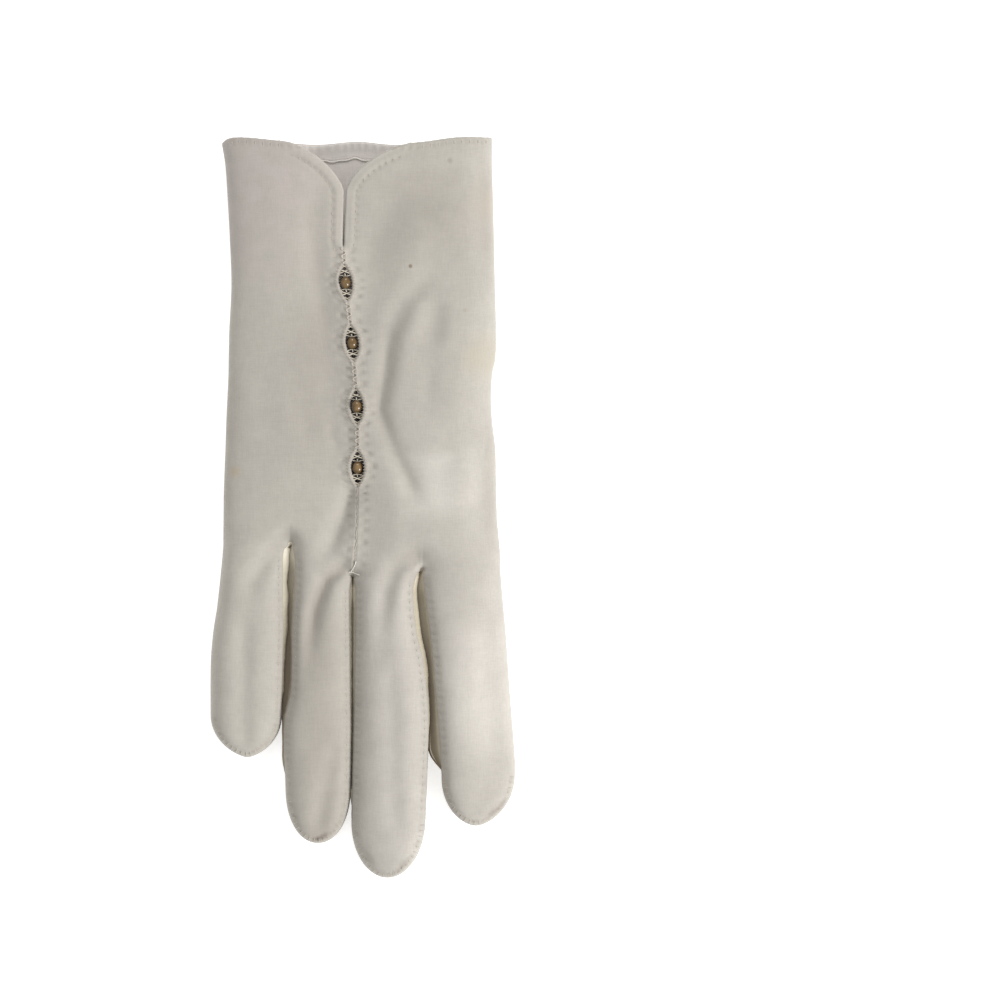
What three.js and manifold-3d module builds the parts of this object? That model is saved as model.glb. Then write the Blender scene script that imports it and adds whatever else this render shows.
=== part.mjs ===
// A woman's wrist-length cotton dress glove for the right hand. It lies palm down, its thumb folded under.
// One piece of cloth wraps round the hand and meets at a seam down the back. The seam is a curved slit at
// the cuff, then four lens-shaped openings with an oval bead in each, and it ends at the fork between ring
// and middle fingers. A forked strip of cloth is let in between each two fingers, and all of it is hollow
// from the cuff on.
// Plan frame, in millimetres: x runs from the little finger's side to the index finger's side, y from the
// fingertips to the cuff, and z is up. x is 0 in the middle of the palm, and y is 0 at the middle fork.
import * as THREE from "three";
import { mergeVertices } from "three/addons/utils/BufferGeometryUtils.js";
import Module from "manifold-3d";

const wasm = await Module();
wasm.setup();

// Driving sizes.
const PALM_WIDTH = 82;
const BODY_LENGTH = 132;
const THICKNESS = 10.4;
const LITTLE_LENGTH = 54.2;
const RING_LENGTH = 80;
const MIDDLE_LENGTH = 90.3;
const INDEX_LENGTH = 74.7;
const WALL = 1;
const HEM_DEPTH = 5.5;
const HEM_FOLD = 0.6;
const CLEARANCE = 0.3;
const THUMB_WIDTH = 23;
const THUMB_THICKNESS = 2.9;
const THUMB_HOLE_WIDTH = 15;
const THUMB_HOLE_LENGTH = 24;
const THUMB_SLOPE = 10;
const STRIP_HEIGHT = 4;
const STRIP_RECESS = 0.6;
const BEAD_WIDTH = 3.2;
const BEAD_LENGTH = 3.9;
const BEAD_HOLE = 1;
const OPENING_LENGTH = 11.6;
const SLIT_WIDTH = 0.8;

// Shares and powers that shape every section.
const EDGE_LEVEL = 0.42;
const HAND_ROUNDNESS = 5;
const FINGER_ROUNDNESS = 3;
const UNDERSIDE_FLATNESS = 1.12;
const TIP_DROP = 0.35;
const BEAD_SIDES = 12;

const HALF_PALM = PALM_WIDTH / 2;
const LIFT = THUMB_THICKNESS + CLEARANCE;

// Outline of the hand from the middle fork (at 0) to the cuff (at 1), as shares of half the palm's width.
const HAND_OUTLINE = [
  { at: -0.01, left: 1.032, right: 1.025, thick: 1 },
  { at: 0.084, left: 1.01, right: 1.002, thick: 1 },
  { at: 0.186, left: 1.007, right: 0.99, thick: 1 },
  { at: 0.289, left: 0.995, right: 0.983, thick: 1 },
  { at: 0.357, left: 0.988, right: 0.958, thick: 1 },
  { at: 0.409, left: 0.98, right: 0.951, thick: 1 },
  { at: 0.459, left: 0.973, right: 0.959, thick: 1 },
  { at: 0.498, left: 0.971, right: 0.983, thick: 1 },
  { at: 0.561, left: 0.966, right: 0.988, thick: 1 },
  { at: 0.664, left: 0.951, right: 0.98, thick: 1 },
  { at: 0.766, left: 0.962, right: 0.973, thick: 1.03 },
  { at: 0.857, left: 0.978, right: 0.966, thick: 1.1 },
  { at: 0.936, left: 0.995, right: 0.959, thick: 1.17 },
  { at: 0.984, left: 1.02, right: 0.959, thick: 1.22 },
];

// How far the cuff's edge falls short of the hand's full length, as a share of that length.
const CUFF_EDGE = [
  { at: -1.02, short: 0.016 },
  { at: -0.86, short: 0.002 },
  { at: -0.62, short: 0.009 },
  { at: -0.33, short: 0.016 },
  { at: -0.03, short: 0.009 },
  { at: 0.23, short: 0.016 },
  { at: 0.43, short: 0.0136 },
  { at: 0.7, short: 0.0023 },
  { at: 0.96, short: 0.001 },
];

// Where neighbouring fingers part, and the outer edges beside them.
// across is a share of half the palm, and at of the hand's length.
const FORKS = [
  { across: -1.01, at: 0.073 },
  { across: -0.512, at: 0.073 },
  { across: -0.062, at: 0 },
  { across: 0.446, at: 0.016 },
  { across: 1.019, at: 0.016 },
];

// Fingers from little to index. Each row has the edges, as shares of half the palm, at one place along.
// The tip's rounding starts at capFrom, and a higher capPower makes it more pointed.
const FINGERS = [
  {
    length: LITTLE_LENGTH,
    capFrom: 0.77,
    capPower: 0.65,
    edges: [
      { at: -0.18, left: -1.01, right: -0.512 },
      { at: -0.11, left: -1.017, right: -0.569 },
      { at: 0.155, left: -1.054, right: -0.569 },
      { at: 0.299, left: -1.083, right: -0.569 },
      { at: 0.46, left: -1.101, right: -0.574 },
      { at: 0.775, left: -1.103, right: -0.582 },
      { at: 1, left: -1.096, right: -0.574 },
    ],
  },
  {
    length: RING_LENGTH,
    capFrom: 0.8,
    capPower: 0.48,
    edges: [
      { at: -0.12, left: -0.512, right: -0.062 },
      { at: -0.075, left: -0.49, right: -0.062 },
      { at: 0, left: -0.485, right: -0.062 },
      { at: 0.049, left: -0.489, right: -0.08 },
      { at: 0.202, left: -0.508, right: -0.081 },
      { at: 0.424, left: -0.517, right: -0.077 },
      { at: 0.548, left: -0.565, right: -0.073 },
      { at: 0.795, left: -0.555, right: -0.077 },
      { at: 1, left: -0.557, right: -0.079 },
    ],
  },
  {
    length: MIDDLE_LENGTH,
    capFrom: 0.81,
    capPower: 0.5,
    edges: [
      { at: -0.023, left: -0.062, right: 0.446 },
      { at: 0, left: -0.062, right: 0.402 },
      { at: 0.043, left: -0.044, right: 0.383 },
      { at: 0.179, left: -0.044, right: 0.406 },
      { at: 0.266, left: -0.048, right: 0.451 },
      { at: 0.375, left: -0.051, right: 0.481 },
      { at: 0.485, left: -0.055, right: 0.495 },
      { at: 0.741, left: -0.069, right: 0.476 },
      { at: 1, left: -0.081, right: 0.461 },
    ],
  },
  {
    length: INDEX_LENGTH,
    capFrom: 0.8,
    capPower: 0.58,
    edges: [
      { at: -0.028, left: 0.446, right: 1.019 },
      { at: 0.052, left: 0.461, right: 1.03 },
      { at: 0.217, left: 0.502, right: 1.057 },
      { at: 0.454, left: 0.545, right: 1.087 },
      { at: 0.723, left: 0.582, right: 1.125 },
      { at: 0.795, left: 0.588, right: 1.127 },
      { at: 1, left: 0.572, right: 1.111 },
    ],
  },
];

// Middle line of the folded thumb, from its closed end near the wrist to its tip.
const THUMB_LINE = [
  { across: 0.63, at: 0.72, wide: 0.94 },
  { across: 0.6, at: 0.63, wide: 1 },
  { across: 0.51, at: 0.5, wide: 1 },
  { across: 0.475, at: 0.4, wide: 0.97 },
  { across: 0.48, at: 0.3, wide: 0.93 },
  { across: 0.5, at: 0.2, wide: 0.86 },
];
const THUMB_HOLE = { across: 0.615, at: 0.64 };

// Line of the back's seam, from the middle fork to the slit.
const SEAM_LINE = [
  { at: 0, across: -0.062 },
  { at: 0.06, across: -0.04 },
  { at: 0.13, across: -0.029 },
  { at: 0.248, across: -0.025 },
  { at: 0.387, across: -0.031 },
  { at: 0.531, across: -0.064 },
  { at: 0.668, across: -0.112 },
  { at: 0.748, across: -0.128 },
  { at: 0.875, across: -0.117 },
];
const BEADS = [
  { name: "bead_1", at: 0.668 },
  { name: "bead_2", at: 0.531 },
  { name: "bead_3", at: 0.387 },
  { name: "bead_4", at: 0.248 },
];
const SLIT_FOOT_AT = 0.748;

// The slit's two curved flaps: where each leaves the cuff's edge, and the two points that bend it.
const FLAPS = {
  left: { from: [-0.56, 0.989], bend: [-0.36, 0.972], steep: [-0.165, 0.915] },
  right: { from: [0.36, 0.989], bend: [0.13, 0.965], steep: [-0.07, 0.92] },
  meetAt: 0.875,
};

// Folds in the back of the hand, each a soft ridge or dent between two places, given as across and at.
// width is a share of half the palm, and rise of the thickness.
const FOLDS = [
  { of: "thumb's side, upper", from: [0.38, 0.705], to: [0.2, 0.573], width: 0.09, rise: -0.1 },
  { of: "thumb's side, middle", from: [0.2, 0.573], to: [0.154, 0.38], width: 0.09, rise: -0.12 },
  { of: "thumb's side, lower", from: [0.154, 0.38], to: [0.432, 0.168], width: 0.09, rise: -0.12 },
  { of: "thumb's knuckle", from: [0.578, 0.645], to: [0.505, 0.509], width: 0.09, rise: -0.07 },
  { of: "below the thumb", from: [0.724, 0.277], to: [0.834, 0.175], width: 0.13, rise: 0.07 },
  { of: "index side, cuff", from: [0.9, 0.97], to: [0.915, 0.63], width: 0.08, rise: -0.07 },
  { of: "index side, knuckle", from: [0.893, 0.277], to: [0.937, 0.039], width: 0.08, rise: -0.09 },
  { of: "little side, cuff", from: [-0.351, 0.902], to: [-0.344, 0.72], width: 0.09, rise: -0.06 },
  { of: "little side, back", from: [-0.278, 0.63], to: [-0.22, 0.459], width: 0.09, rise: -0.07 },
  { of: "seam's side", from: [-0.102, 0.198], to: [-0.249, 0.05], width: 0.09, rise: -0.11 },
  { of: "seam, upper", from: [-0.125, 0.72], to: [-0.031, 0.387], width: 0.1, rise: 0.06 },
  { of: "seam, lower", from: [-0.031, 0.387], to: [-0.05, 0.05], width: 0.1, rise: 0.06 },
  { of: "little fork", from: [-0.52, 0.089], to: [-0.76, 0], width: 0.08, rise: -0.09 },
  { of: "middle fork", from: [-0.13, 0.027], to: [-0.36, -0.16], width: 0.08, rise: -0.1 },
  { of: "index fork", from: [0.41, 0.045], to: [0.18, -0.1], width: 0.08, rise: -0.1 },
];

// Soft dents along the fingers: from and to are shares of the length, beside and toBeside of half the width.
const FINGER_DENTS = [
  { finger: 0, from: 0.3, beside: -0.1, to: 0.9, toBeside: -0.1, width: 0.3, rise: -0.07 },
  { finger: 1, from: 0.66, beside: 0.5, to: 0.92, toBeside: 0.05, width: 0.3, rise: -0.09 },
  { finger: 2, from: 0.35, beside: 0.05, to: 0.8, toBeside: 0.15, width: 0.3, rise: -0.06 },
  { finger: 3, from: 0.2, beside: 0.5, to: 0.7, toBeside: 0.45, width: 0.3, rise: -0.06 },
];

// Lines of the mesh: places across a finger for the outside and the inside of the cloth, and shares along.
const OUTSIDE_LINES = [-1, -0.97, -0.8, -0.42, 0, 0.42, 0.8, 0.97, 1];
const INSIDE_LINES = [-1, -0.8, -0.42, 0, 0.42, 0.8, 1];
const THUMB_LINES = [-1, -0.93, -0.6, 0, 0.6, 0.93, 1];
const HAND_ROWS = 16;
const HAND_ROWS_END = 0.84;
const FORK_ROWS = [0.89, 0.93, 0.96, 0.98, 0.992, 1];
const FINGER_ROWS = [0.03, 0.1, 0.21, 0.35, 0.49, 0.62, 0.74, 0.84, 0.92, 0.97, 1];
const THUMB_ROWS = 12;
const STRIP_STEPS = 9;
const CROTCH_STEPS = 4;
const CUFF_STEPS = 24;
const CURVE_STEPS = 7;
const BEAD_STEPS = 6;

// How strongly the lines crowd towards the sides at the cuff, and where the section turns into the fingers'.
const SIDE_CROWDING = 0.45;
const FINGERS_FROM = 0.9;
// A strip's height where the fingertip starts, as a share of its height at the fork.
const STRIP_TAPER = 0.5;
// Cuts run clear past the cuff and the sides, as shares of the hand's length and of half the palm.
const PAST_CUFF = 1.2;
const PAST_SIDES = 1.3;

const { clamp, lerp, smoothstep } = THREE.MathUtils;

// One column of a table at a place along it, on a smooth curve through the rows.
function track(rows, column, place) {
  const last = rows.length - 1;
  const above = rows.findIndex((row) => row.at > place);
  const k = clamp((above < 0 ? last : above) - 1, 0, last - 1);
  const slope = (i) => {
    const before = rows[Math.max(i - 1, 0)];
    const after = rows[Math.min(i + 1, last)];
    return (after[column] - before[column]) / (after.at - before.at);
  };
  const span = rows[k + 1].at - rows[k].at;
  const t = clamp((place - rows[k].at) / span, 0, 1);
  const eased = lerp(rows[k][column], rows[k + 1][column], t * t * (3 - 2 * t));
  return eased + span * t * (1 - t) * ((1 - t) * slope(k) - t * slope(k + 1));
}

// Distance in plan from a point to the stretch between two others.
function distanceToLine(x, y, [x1, y1], [x2, y2]) {
  const dx = x2 - x1;
  const dy = y2 - y1;
  const t = clamp(((x - x1) * dx + (y - y1) * dy) / (dx * dx + dy * dy), 0, 1);
  return Math.hypot(x - x1 - t * dx, y - y1 - t * dy);
}

const planX = (across) => across * HALF_PALM;
const planY = (at) => at * BODY_LENGTH;
const plan = ([across, at]) => [planX(across), planY(at)];
const forkPlace = (k) => [planX(FORKS[k].across), planY(FORKS[k].at)];
const rounded = (u, roundness) => Math.sqrt(Math.max(0, 1 - Math.abs(u) ** roundness));

function handEdges(y, inset) {
  const at = y / BODY_LENGTH;
  return [
    -planX(track(HAND_OUTLINE, "left", at)) + inset,
    planX(track(HAND_OUTLINE, "right", at)) - inset,
  ];
}

// How far into its rounded tip a finger is: 0 where the tip starts and 1 at its end.
function capShare(finger, y, inset) {
  const at = -y / (finger.length - inset);
  return clamp((at - finger.capFrom) / (1 - finger.capFrom), 0, 1);
}

function fingerEdges(finger, y, inset) {
  const at = -y / (finger.length - inset);
  const left = planX(track(finger.edges, "left", at)) + inset;
  const right = planX(track(finger.edges, "right", at)) - inset;
  const narrowing = (1 - capShare(finger, y, inset) ** 2) ** finger.capPower;
  const middle = (left + right) / 2;
  const half = ((right - left) / 2) * narrowing;
  return [middle - half, middle + half];
}

// How high the thumb holds the palm off the ground. It falls away steeply at the thumb's sides, and slowly
// towards the fingertips.
function groundLift(x, y) {
  const places = THUMB_LINE.map((row) => [planX(row.across), planY(row.at)]);
  const tip = places.at(-1);
  const slow = THUMB_SLOPE / (tip[1] + INDEX_LENGTH);
  const nearY = y < tip[1] ? tip[1] + (y - tip[1]) * slow : y;
  const away = places.slice(1).map((place, i) => distanceToLine(x, nearY, places[i], place));
  const reach = THUMB_WIDTH / 2 + WALL;
  return LIFT * (1 - smoothstep(Math.min(...away), reach, reach + THUMB_SLOPE));
}

function foldRise(x, y) {
  let rise = 0;
  for (const fold of FOLDS) {
    const away = distanceToLine(x, y, plan(fold.from), plan(fold.to)) / planX(fold.width);
    rise += fold.rise * Math.exp(-away * away);
  }
  for (const dent of FINGER_DENTS) {
    const finger = FINGERS[dent.finger];
    const place = (at, beside) => {
      const [left, right] = fingerEdges(finger, -at * finger.length, 0);
      return [lerp(left, right, (beside + 1) / 2), -at * finger.length];
    };
    const ends = [place(dent.from, dent.beside), place(dent.to, dent.toBeside)];
    const half = planX(finger.edges[0].right - finger.edges[0].left) / 2;
    const away = distanceToLine(x, y, ...ends) / (dent.width * half);
    rise += dent.rise * Math.exp(-away * away);
  }
  return rise * THICKNESS;
}

const handThickness = (y) => THICKNESS * track(HAND_OUTLINE, "thick", y / BODY_LENGTH);

// Heights of back and palm. fullness is 0 at an edge, where they meet, and 1 in the middle of the cloth.
// drop lowers a fingertip's end.
function clothHeights(x, y, fullness, thickness, inset, drop) {
  const middle = groundLift(x, y) + thickness * EDGE_LEVEL * (1 - drop);
  const up = thickness * (1 - EDGE_LEVEL) - inset;
  const down = thickness * EDGE_LEVEL - inset;
  const back = middle + (up + foldRise(x, y)) * fullness;
  const palm = Math.max(middle - down * Math.min(1, fullness * UNDERSIDE_FLATNESS), inset);
  return { back, palm };
}

// A solid from a mesh: equal points are joined, and the faces are turned outwards.
function solidFrom(geometry) {
  const bare = geometry.clone();
  bare.deleteAttribute("normal");
  bare.deleteAttribute("uv");
  const merged = mergeVertices(bare, 1e-4);
  const points = merged.attributes.position.array;
  const faces = merged.index.array;
  const corner = (i) => new THREE.Vector3().fromArray(points, 3 * faces[i]);
  let volume = 0;
  for (let i = 0; i < faces.length; i += 3) {
    volume += corner(i).dot(corner(i + 1).cross(corner(i + 2)));
  }
  const outward = volume > 0 ? faces : faces.toReversed();
  const mesh = new wasm.Mesh({
    numProp: 3,
    vertProperties: new Float32Array(points),
    triVerts: new Uint32Array(outward),
  });
  return new wasm.Manifold(mesh);
}

// Collects points and faces, row by row.
class Skin {
  points = [];
  faces = [];

  add(x, y, z) {
    this.points.push(x, y, z);
    return this.points.length / 3 - 1;
  }

  triangle(a, b, c) {
    if (a !== b && b !== c && c !== a) this.faces.push(a, b, c);
  }

  quad(a, b, c, d) {
    this.triangle(a, b, c);
    this.triangle(a, c, d);
  }

  // Faces between two rows of equal length.
  band(row, next) {
    for (let j = 0; j + 1 < row.length; j += 1) this.quad(row[j], next[j], next[j + 1], row[j + 1]);
  }

  // A row of back points and one of palm points. Where they meet at an edge they are one point.
  addRow(places) {
    const back = places.map((p) => this.add(p.x, p.y, p.back));
    const palm = places.map((p, j) => (p.fullness === 0 ? back[j] : this.add(p.x, p.y, p.palm)));
    return { back, palm };
  }

  joinRows(row, next) {
    this.band(row.back, next.back);
    this.band(next.palm, row.palm);
  }

  // Closes the last row on one point.
  joinTip(row, place) {
    const tip = this.add(place.x, place.y, place.back);
    this.joinRows(row, { back: row.back.map(() => tip), palm: row.palm.map(() => tip) });
  }

  solid() {
    const made = new THREE.BufferGeometry();
    made.setAttribute("position", new THREE.Float32BufferAttribute(this.points, 3));
    made.setIndex(this.faces);
    return solidFrom(made);
  }
}

// Lines that run down the whole hand, each with the finger it ends on and its place across that finger.
const handLines = (lines) =>
  FINGERS.flatMap((_, k) => lines.slice(k === 0 ? 0 : 1).map((u) => ({ finger: k, u })));

// The hand's last row runs through the forks.
function forkRowPlace({ finger, u }, inset) {
  const [leftX, leftY] = forkPlace(finger);
  const [rightX, rightY] = forkPlace(finger + 1);
  const left = leftX + (finger === 0 ? inset : 0);
  const right = rightX - (finger === FINGERS.length - 1 ? inset : 0);
  const share = (u + 1) / 2;
  return [lerp(left, right, share), lerp(leftY, rightY, share) + inset];
}

// One row across the hand, from the cuff's end (share 0) to the forks (share 1).
function handRow(lines, share, inset, reach) {
  const last = lines.length - 1;
  const [firstX] = forkRowPlace(lines[0], inset);
  const [lastX] = forkRowPlace(lines[last], inset);
  return lines.map((line, j) => {
    const [forkX, forkY] = forkRowPlace(line, inset);
    const y = lerp(BODY_LENGTH + reach, forkY, share);
    const [left, right] = handEdges(y, inset);
    const even = (2 * j) / last - 1;
    const atCuff = lerp(even, Math.sin((even * Math.PI) / 2), SIDE_CROWDING);
    const atForks = (2 * (forkX - firstX)) / (lastX - firstX) - 1;
    const u = lerp(atCuff, atForks, share ** 2);
    const x = share === 1 ? forkX : lerp(left, right, (u + 1) / 2);
    const valley = [1, 2, 3].map((k) => {
      const [fx, fy] = forkPlace(k);
      const away = Math.hypot(x - fx, y - fy - inset) / (HALF_PALM / FINGERS.length);
      return rounded(1 - clamp(away, 0, 1), FINGER_ROUNDNESS);
    });
    const wide = rounded(u, HAND_ROUNDNESS) * Math.min(...valley);
    const atFinger = rounded(line.u, FINGER_ROUNDNESS);
    const onEdge = j === 0 || j === last;
    const turning = clamp((share - FINGERS_FROM) / (1 - FINGERS_FROM), 0, 1);
    const fullness = onEdge ? 0 : lerp(wide, atFinger, turning ** 2);
    return { x, y, fullness, ...clothHeights(x, y, fullness, handThickness(y), inset, 0) };
  });
}

function fingerRow(k, lines, share, inset) {
  const finger = FINGERS[k];
  const end = inset - finger.length;
  const leftY = lerp(forkPlace(k)[1] + inset, end, share);
  const rightY = lerp(forkPlace(k + 1)[1] + inset, end, share);
  return lines.map((u) => {
    const y = lerp(leftY, rightY, (u + 1) / 2);
    const [left, right] = fingerEdges(finger, y, inset);
    const cap = capShare(finger, y, inset);
    const fullness = rounded(u, FINGER_ROUNDNESS) * rounded(cap, FINGER_ROUNDNESS);
    const x = lerp(left, right, (u + 1) / 2);
    return { x, y, fullness, ...clothHeights(x, y, fullness, THICKNESS, inset, TIP_DROP * cap ** 2) };
  });
}

// The whole form of hand and fingers: the outside of the cloth, or with an inset the hollow inside it.
function handForm(lines, inset, reach) {
  const skin = new Skin();
  const even = Array.from({ length: HAND_ROWS }, (_, i) => (i * HAND_ROWS_END) / (HAND_ROWS - 1));
  const across = handLines(lines);
  const rows = [...even, ...FORK_ROWS].map((share) => skin.addRow(handRow(across, share, inset, reach)));
  rows.slice(1).forEach((row, i) => skin.joinRows(rows[i], row));
  skin.band(rows[0].palm, rows[0].back);
  const steps = lines.length - 1;
  FINGERS.forEach((_, k) => {
    const stretch = (row) => row.slice(k * steps, (k + 1) * steps + 1);
    let before = { back: stretch(rows.at(-1).back), palm: stretch(rows.at(-1).palm) };
    for (const share of FINGER_ROWS) {
      const places = fingerRow(k, lines, share, inset);
      if (share === 1) {
        skin.joinTip(before, places[steps / 2]);
      } else {
        const row = skin.addRow(places);
        skin.joinRows(before, row);
        before = row;
      }
    }
  });
  return skin.solid();
}

// A solid with a plan outline, from one height to another.
function prism(shape, from, to) {
  const cut = new THREE.ExtrudeGeometry(shape, {
    depth: to - from,
    bevelEnabled: false,
    curveSegments: CURVE_STEPS,
  });
  cut.translate(0, 0, from);
  return solidFrom(cut);
}

const seamX = (at) => planX(track(SEAM_LINE, "across", at));
const seamLevel = (at) => {
  const [x, y] = [seamX(at), planY(at)];
  const inside = clothHeights(x, y, 1, handThickness(y), 0, 0);
  return { middle: (inside.back + inside.palm) / 2, back: inside.back };
};
const ABOVE_ALL = 3 * THICKNESS;

function beyondCuff() {
  const shape = new THREE.Shape();
  shape.moveTo(planX(-PAST_SIDES), planY(PAST_CUFF));
  for (let i = 0; i <= CUFF_STEPS; i += 1) {
    const across = lerp(-PAST_SIDES, PAST_SIDES, i / CUFF_STEPS);
    shape.lineTo(planX(across), planY(1 - track(CUFF_EDGE, "short", across)));
  }
  shape.lineTo(planX(PAST_SIDES), planY(PAST_CUFF));
  return prism(shape, -THICKNESS, ABOVE_ALL);
}

// The slit's outline: a narrow gap up the seam that opens out between the two curved flaps.
function slitShape() {
  const half = SLIT_WIDTH / 2;
  const meetX = seamX(FLAPS.meetAt);
  const meetY = planY(FLAPS.meetAt);
  const outside = planY(PAST_CUFF);
  const { left, right } = FLAPS;
  const shape = new THREE.Shape();
  shape.moveTo(planX(left.from[0]), outside);
  shape.lineTo(...plan(left.from));
  shape.bezierCurveTo(...plan(left.bend), ...plan(left.steep), meetX - half, meetY);
  shape.lineTo(seamX(SLIT_FOOT_AT) - half / 2, planY(SLIT_FOOT_AT));
  shape.lineTo(seamX(SLIT_FOOT_AT) + half / 2, planY(SLIT_FOOT_AT));
  shape.lineTo(meetX + half, meetY);
  shape.bezierCurveTo(...plan(right.steep), ...plan(right.bend), ...plan(right.from));
  shape.lineTo(planX(right.from[0]), outside);
  return shape;
}

// A lens between two arcs, just wider than the bead that lies in it.
function openingShape(at) {
  const x = seamX(at);
  const y = planY(at);
  const half = BEAD_WIDTH / 2 + CLEARANCE;
  const end = OPENING_LENGTH / 2;
  const lean = seamX(at + end / BODY_LENGTH) - x;
  const shape = new THREE.Shape();
  shape.moveTo(x - lean, y - end);
  shape.quadraticCurveTo(x + 2 * half, y, x + lean, y + end);
  shape.quadraticCurveTo(x - 2 * half, y, x - lean, y - end);
  return shape;
}

function thumbHole() {
  const shape = new THREE.Shape();
  const middle = plan([THUMB_HOLE.across, THUMB_HOLE.at]);
  shape.absellipse(...middle, THUMB_HOLE_WIDTH / 2, THUMB_HOLE_LENGTH / 2, 0, 2 * Math.PI);
  return prism(shape, THUMB_THICKNESS / 2, LIFT + THICKNESS / 2);
}

// The thumb's flat form, rounded at both ends: its outside, or with an inset its hollow.
function thumbForm(inset) {
  const path = new THREE.CatmullRomCurve3(
    THUMB_LINE.map((row) => new THREE.Vector3(planX(row.across), planY(row.at), 0)),
  );
  const length = path.getLength();
  const overhang = THUMB_WIDTH / 2 - inset;
  const level = THUMB_THICKNESS / 2;
  const skin = new Skin();
  const placesAt = (along, lines) => {
    const s = clamp(along / length, 0, 1);
    const past = along - s * length;
    const spot = path.getPointAt(s);
    const ahead = path.getTangentAt(s);
    const row = s * (THUMB_LINE.length - 1);
    const k = Math.min(Math.floor(row), THUMB_LINE.length - 2);
    const wide = lerp(THUMB_LINE[k].wide, THUMB_LINE[k + 1].wide, row - k);
    const half = ((THUMB_WIDTH * wide) / 2 - inset) * rounded(past / overhang, 2);
    return lines.map((u) => {
      const x = spot.x + ahead.x * past - ahead.y * half * u;
      const y = spot.y + ahead.y * past + ahead.x * half * u;
      const fullness = rounded(u, HAND_ROUNDNESS) * rounded(past / overhang, HAND_ROUNDNESS);
      const back = level + (level - inset) * fullness;
      const palm = Math.max(level - (level - inset) * Math.min(1, fullness * UNDERSIDE_FLATNESS), inset);
      return { x, y, fullness, back, palm };
    });
  };
  const rows = [];
  for (let i = 1; i < THUMB_ROWS; i += 1) {
    const along = length / 2 - (length / 2 + overhang) * Math.cos((Math.PI * i) / THUMB_ROWS);
    rows.push(skin.addRow(placesAt(along, THUMB_LINES)));
  }
  rows.slice(1).forEach((row, i) => skin.joinRows(rows[i], row));
  skin.joinTip(rows.at(-1), placesAt(length + overhang, [0])[0]);
  const start = placesAt(-overhang, [0])[0];
  const tip = skin.add(start.x, start.y, start.back);
  skin.joinRows({ back: THUMB_LINES.map(() => tip), palm: THUMB_LINES.map(() => tip) }, rows[0]);
  return skin.solid();
}

// Stations down one finger's side, from the fork to where its tip rounds off. side is 1 at its right edge.
function stripLeg(k, side, past) {
  const finger = FINGERS[k];
  const top = forkPlace(side > 0 ? k + 1 : k)[1];
  const bottom = -finger.length * finger.capFrom - past;
  return Array.from({ length: STRIP_STEPS + 1 }, (_, i) => {
    const share = i / STRIP_STEPS;
    const y = lerp(top, bottom, share);
    const edge = fingerEdges(finger, y, 0)[side > 0 ? 1 : 0];
    const level = groundLift(edge, y) + THICKNESS * EDGE_LEVEL;
    return { edge, y, level, tall: lerp(1, STRIP_TAPER, share ** 3) };
  });
}

// A closed band through stations that each hold two places in plan, a level and a height.
function bandSolid(stations) {
  const skin = new Skin();
  const rings = stations.map(({ a, b, level, high }) => {
    const below = level - high / 2;
    const above = level + high / 2;
    return [skin.add(...a, below), skin.add(...b, below), skin.add(...b, above), skin.add(...a, above)];
  });
  rings.slice(1).forEach((ring, i) => skin.band([...rings[i], rings[i][0]], [...ring, ring[0]]));
  skin.quad(...rings[0]);
  skin.quad(...rings.at(-1).toReversed());
  return skin.solid();
}

// The forked strip between fingers k and k + 1: a leg along each finger, joined round the fork.
function fourchette(k) {
  const [fx, fy] = forkPlace(k + 1);
  const near = STRIP_RECESS;
  const far = STRIP_RECESS + WALL;
  const leg = (finger, side) =>
    stripLeg(finger, side, 0).map(({ edge, y, level, tall }) => ({
      a: [edge - side * near, y],
      b: [edge - side * far, y],
      level,
      high: STRIP_HEIGHT * tall,
    }));
  const level = groundLift(fx, fy) + THICKNESS * EDGE_LEVEL;
  const crotch = Array.from({ length: CROTCH_STEPS - 1 }, (_, i) => {
    const turn = Math.PI - (Math.PI * (i + 1)) / CROTCH_STEPS;
    const [dx, dy] = [Math.cos(turn), Math.sin(turn)];
    const a = [fx + near * dx, fy + near * dy];
    const b = [fx + far * dx, fy + far * dy];
    return { a, b, level, high: STRIP_HEIGHT };
  });
  return bandSolid([...leg(k, 1).toReversed(), ...crotch, ...leg(k + 1, -1)]);
}

// The space for that strip, cut through the cloth on both fingers' sides and round the fork.
function fourchetteSpace(k) {
  const [fx, fy] = forkPlace(k + 1);
  const through = STRIP_RECESS + 3 * WALL;
  const leg = (finger, side) =>
    bandSolid(
      stripLeg(finger, side, CLEARANCE).map(({ edge, y, level, tall }) => ({
        a: [edge + side * CLEARANCE, y],
        b: [edge - side * through, y],
        level,
        high: STRIP_HEIGHT * tall + 2 * CLEARANCE,
      })),
    );
  const level = groundLift(fx, fy) + THICKNESS * EDGE_LEVEL;
  const round = new THREE.Shape();
  round.absarc(fx, fy, through, 0, 2 * Math.PI);
  const high = STRIP_HEIGHT / 2 + CLEARANCE;
  return leg(k, 1).add(leg(k + 1, -1)).add(prism(round, level - high, level + high));
}

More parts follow.
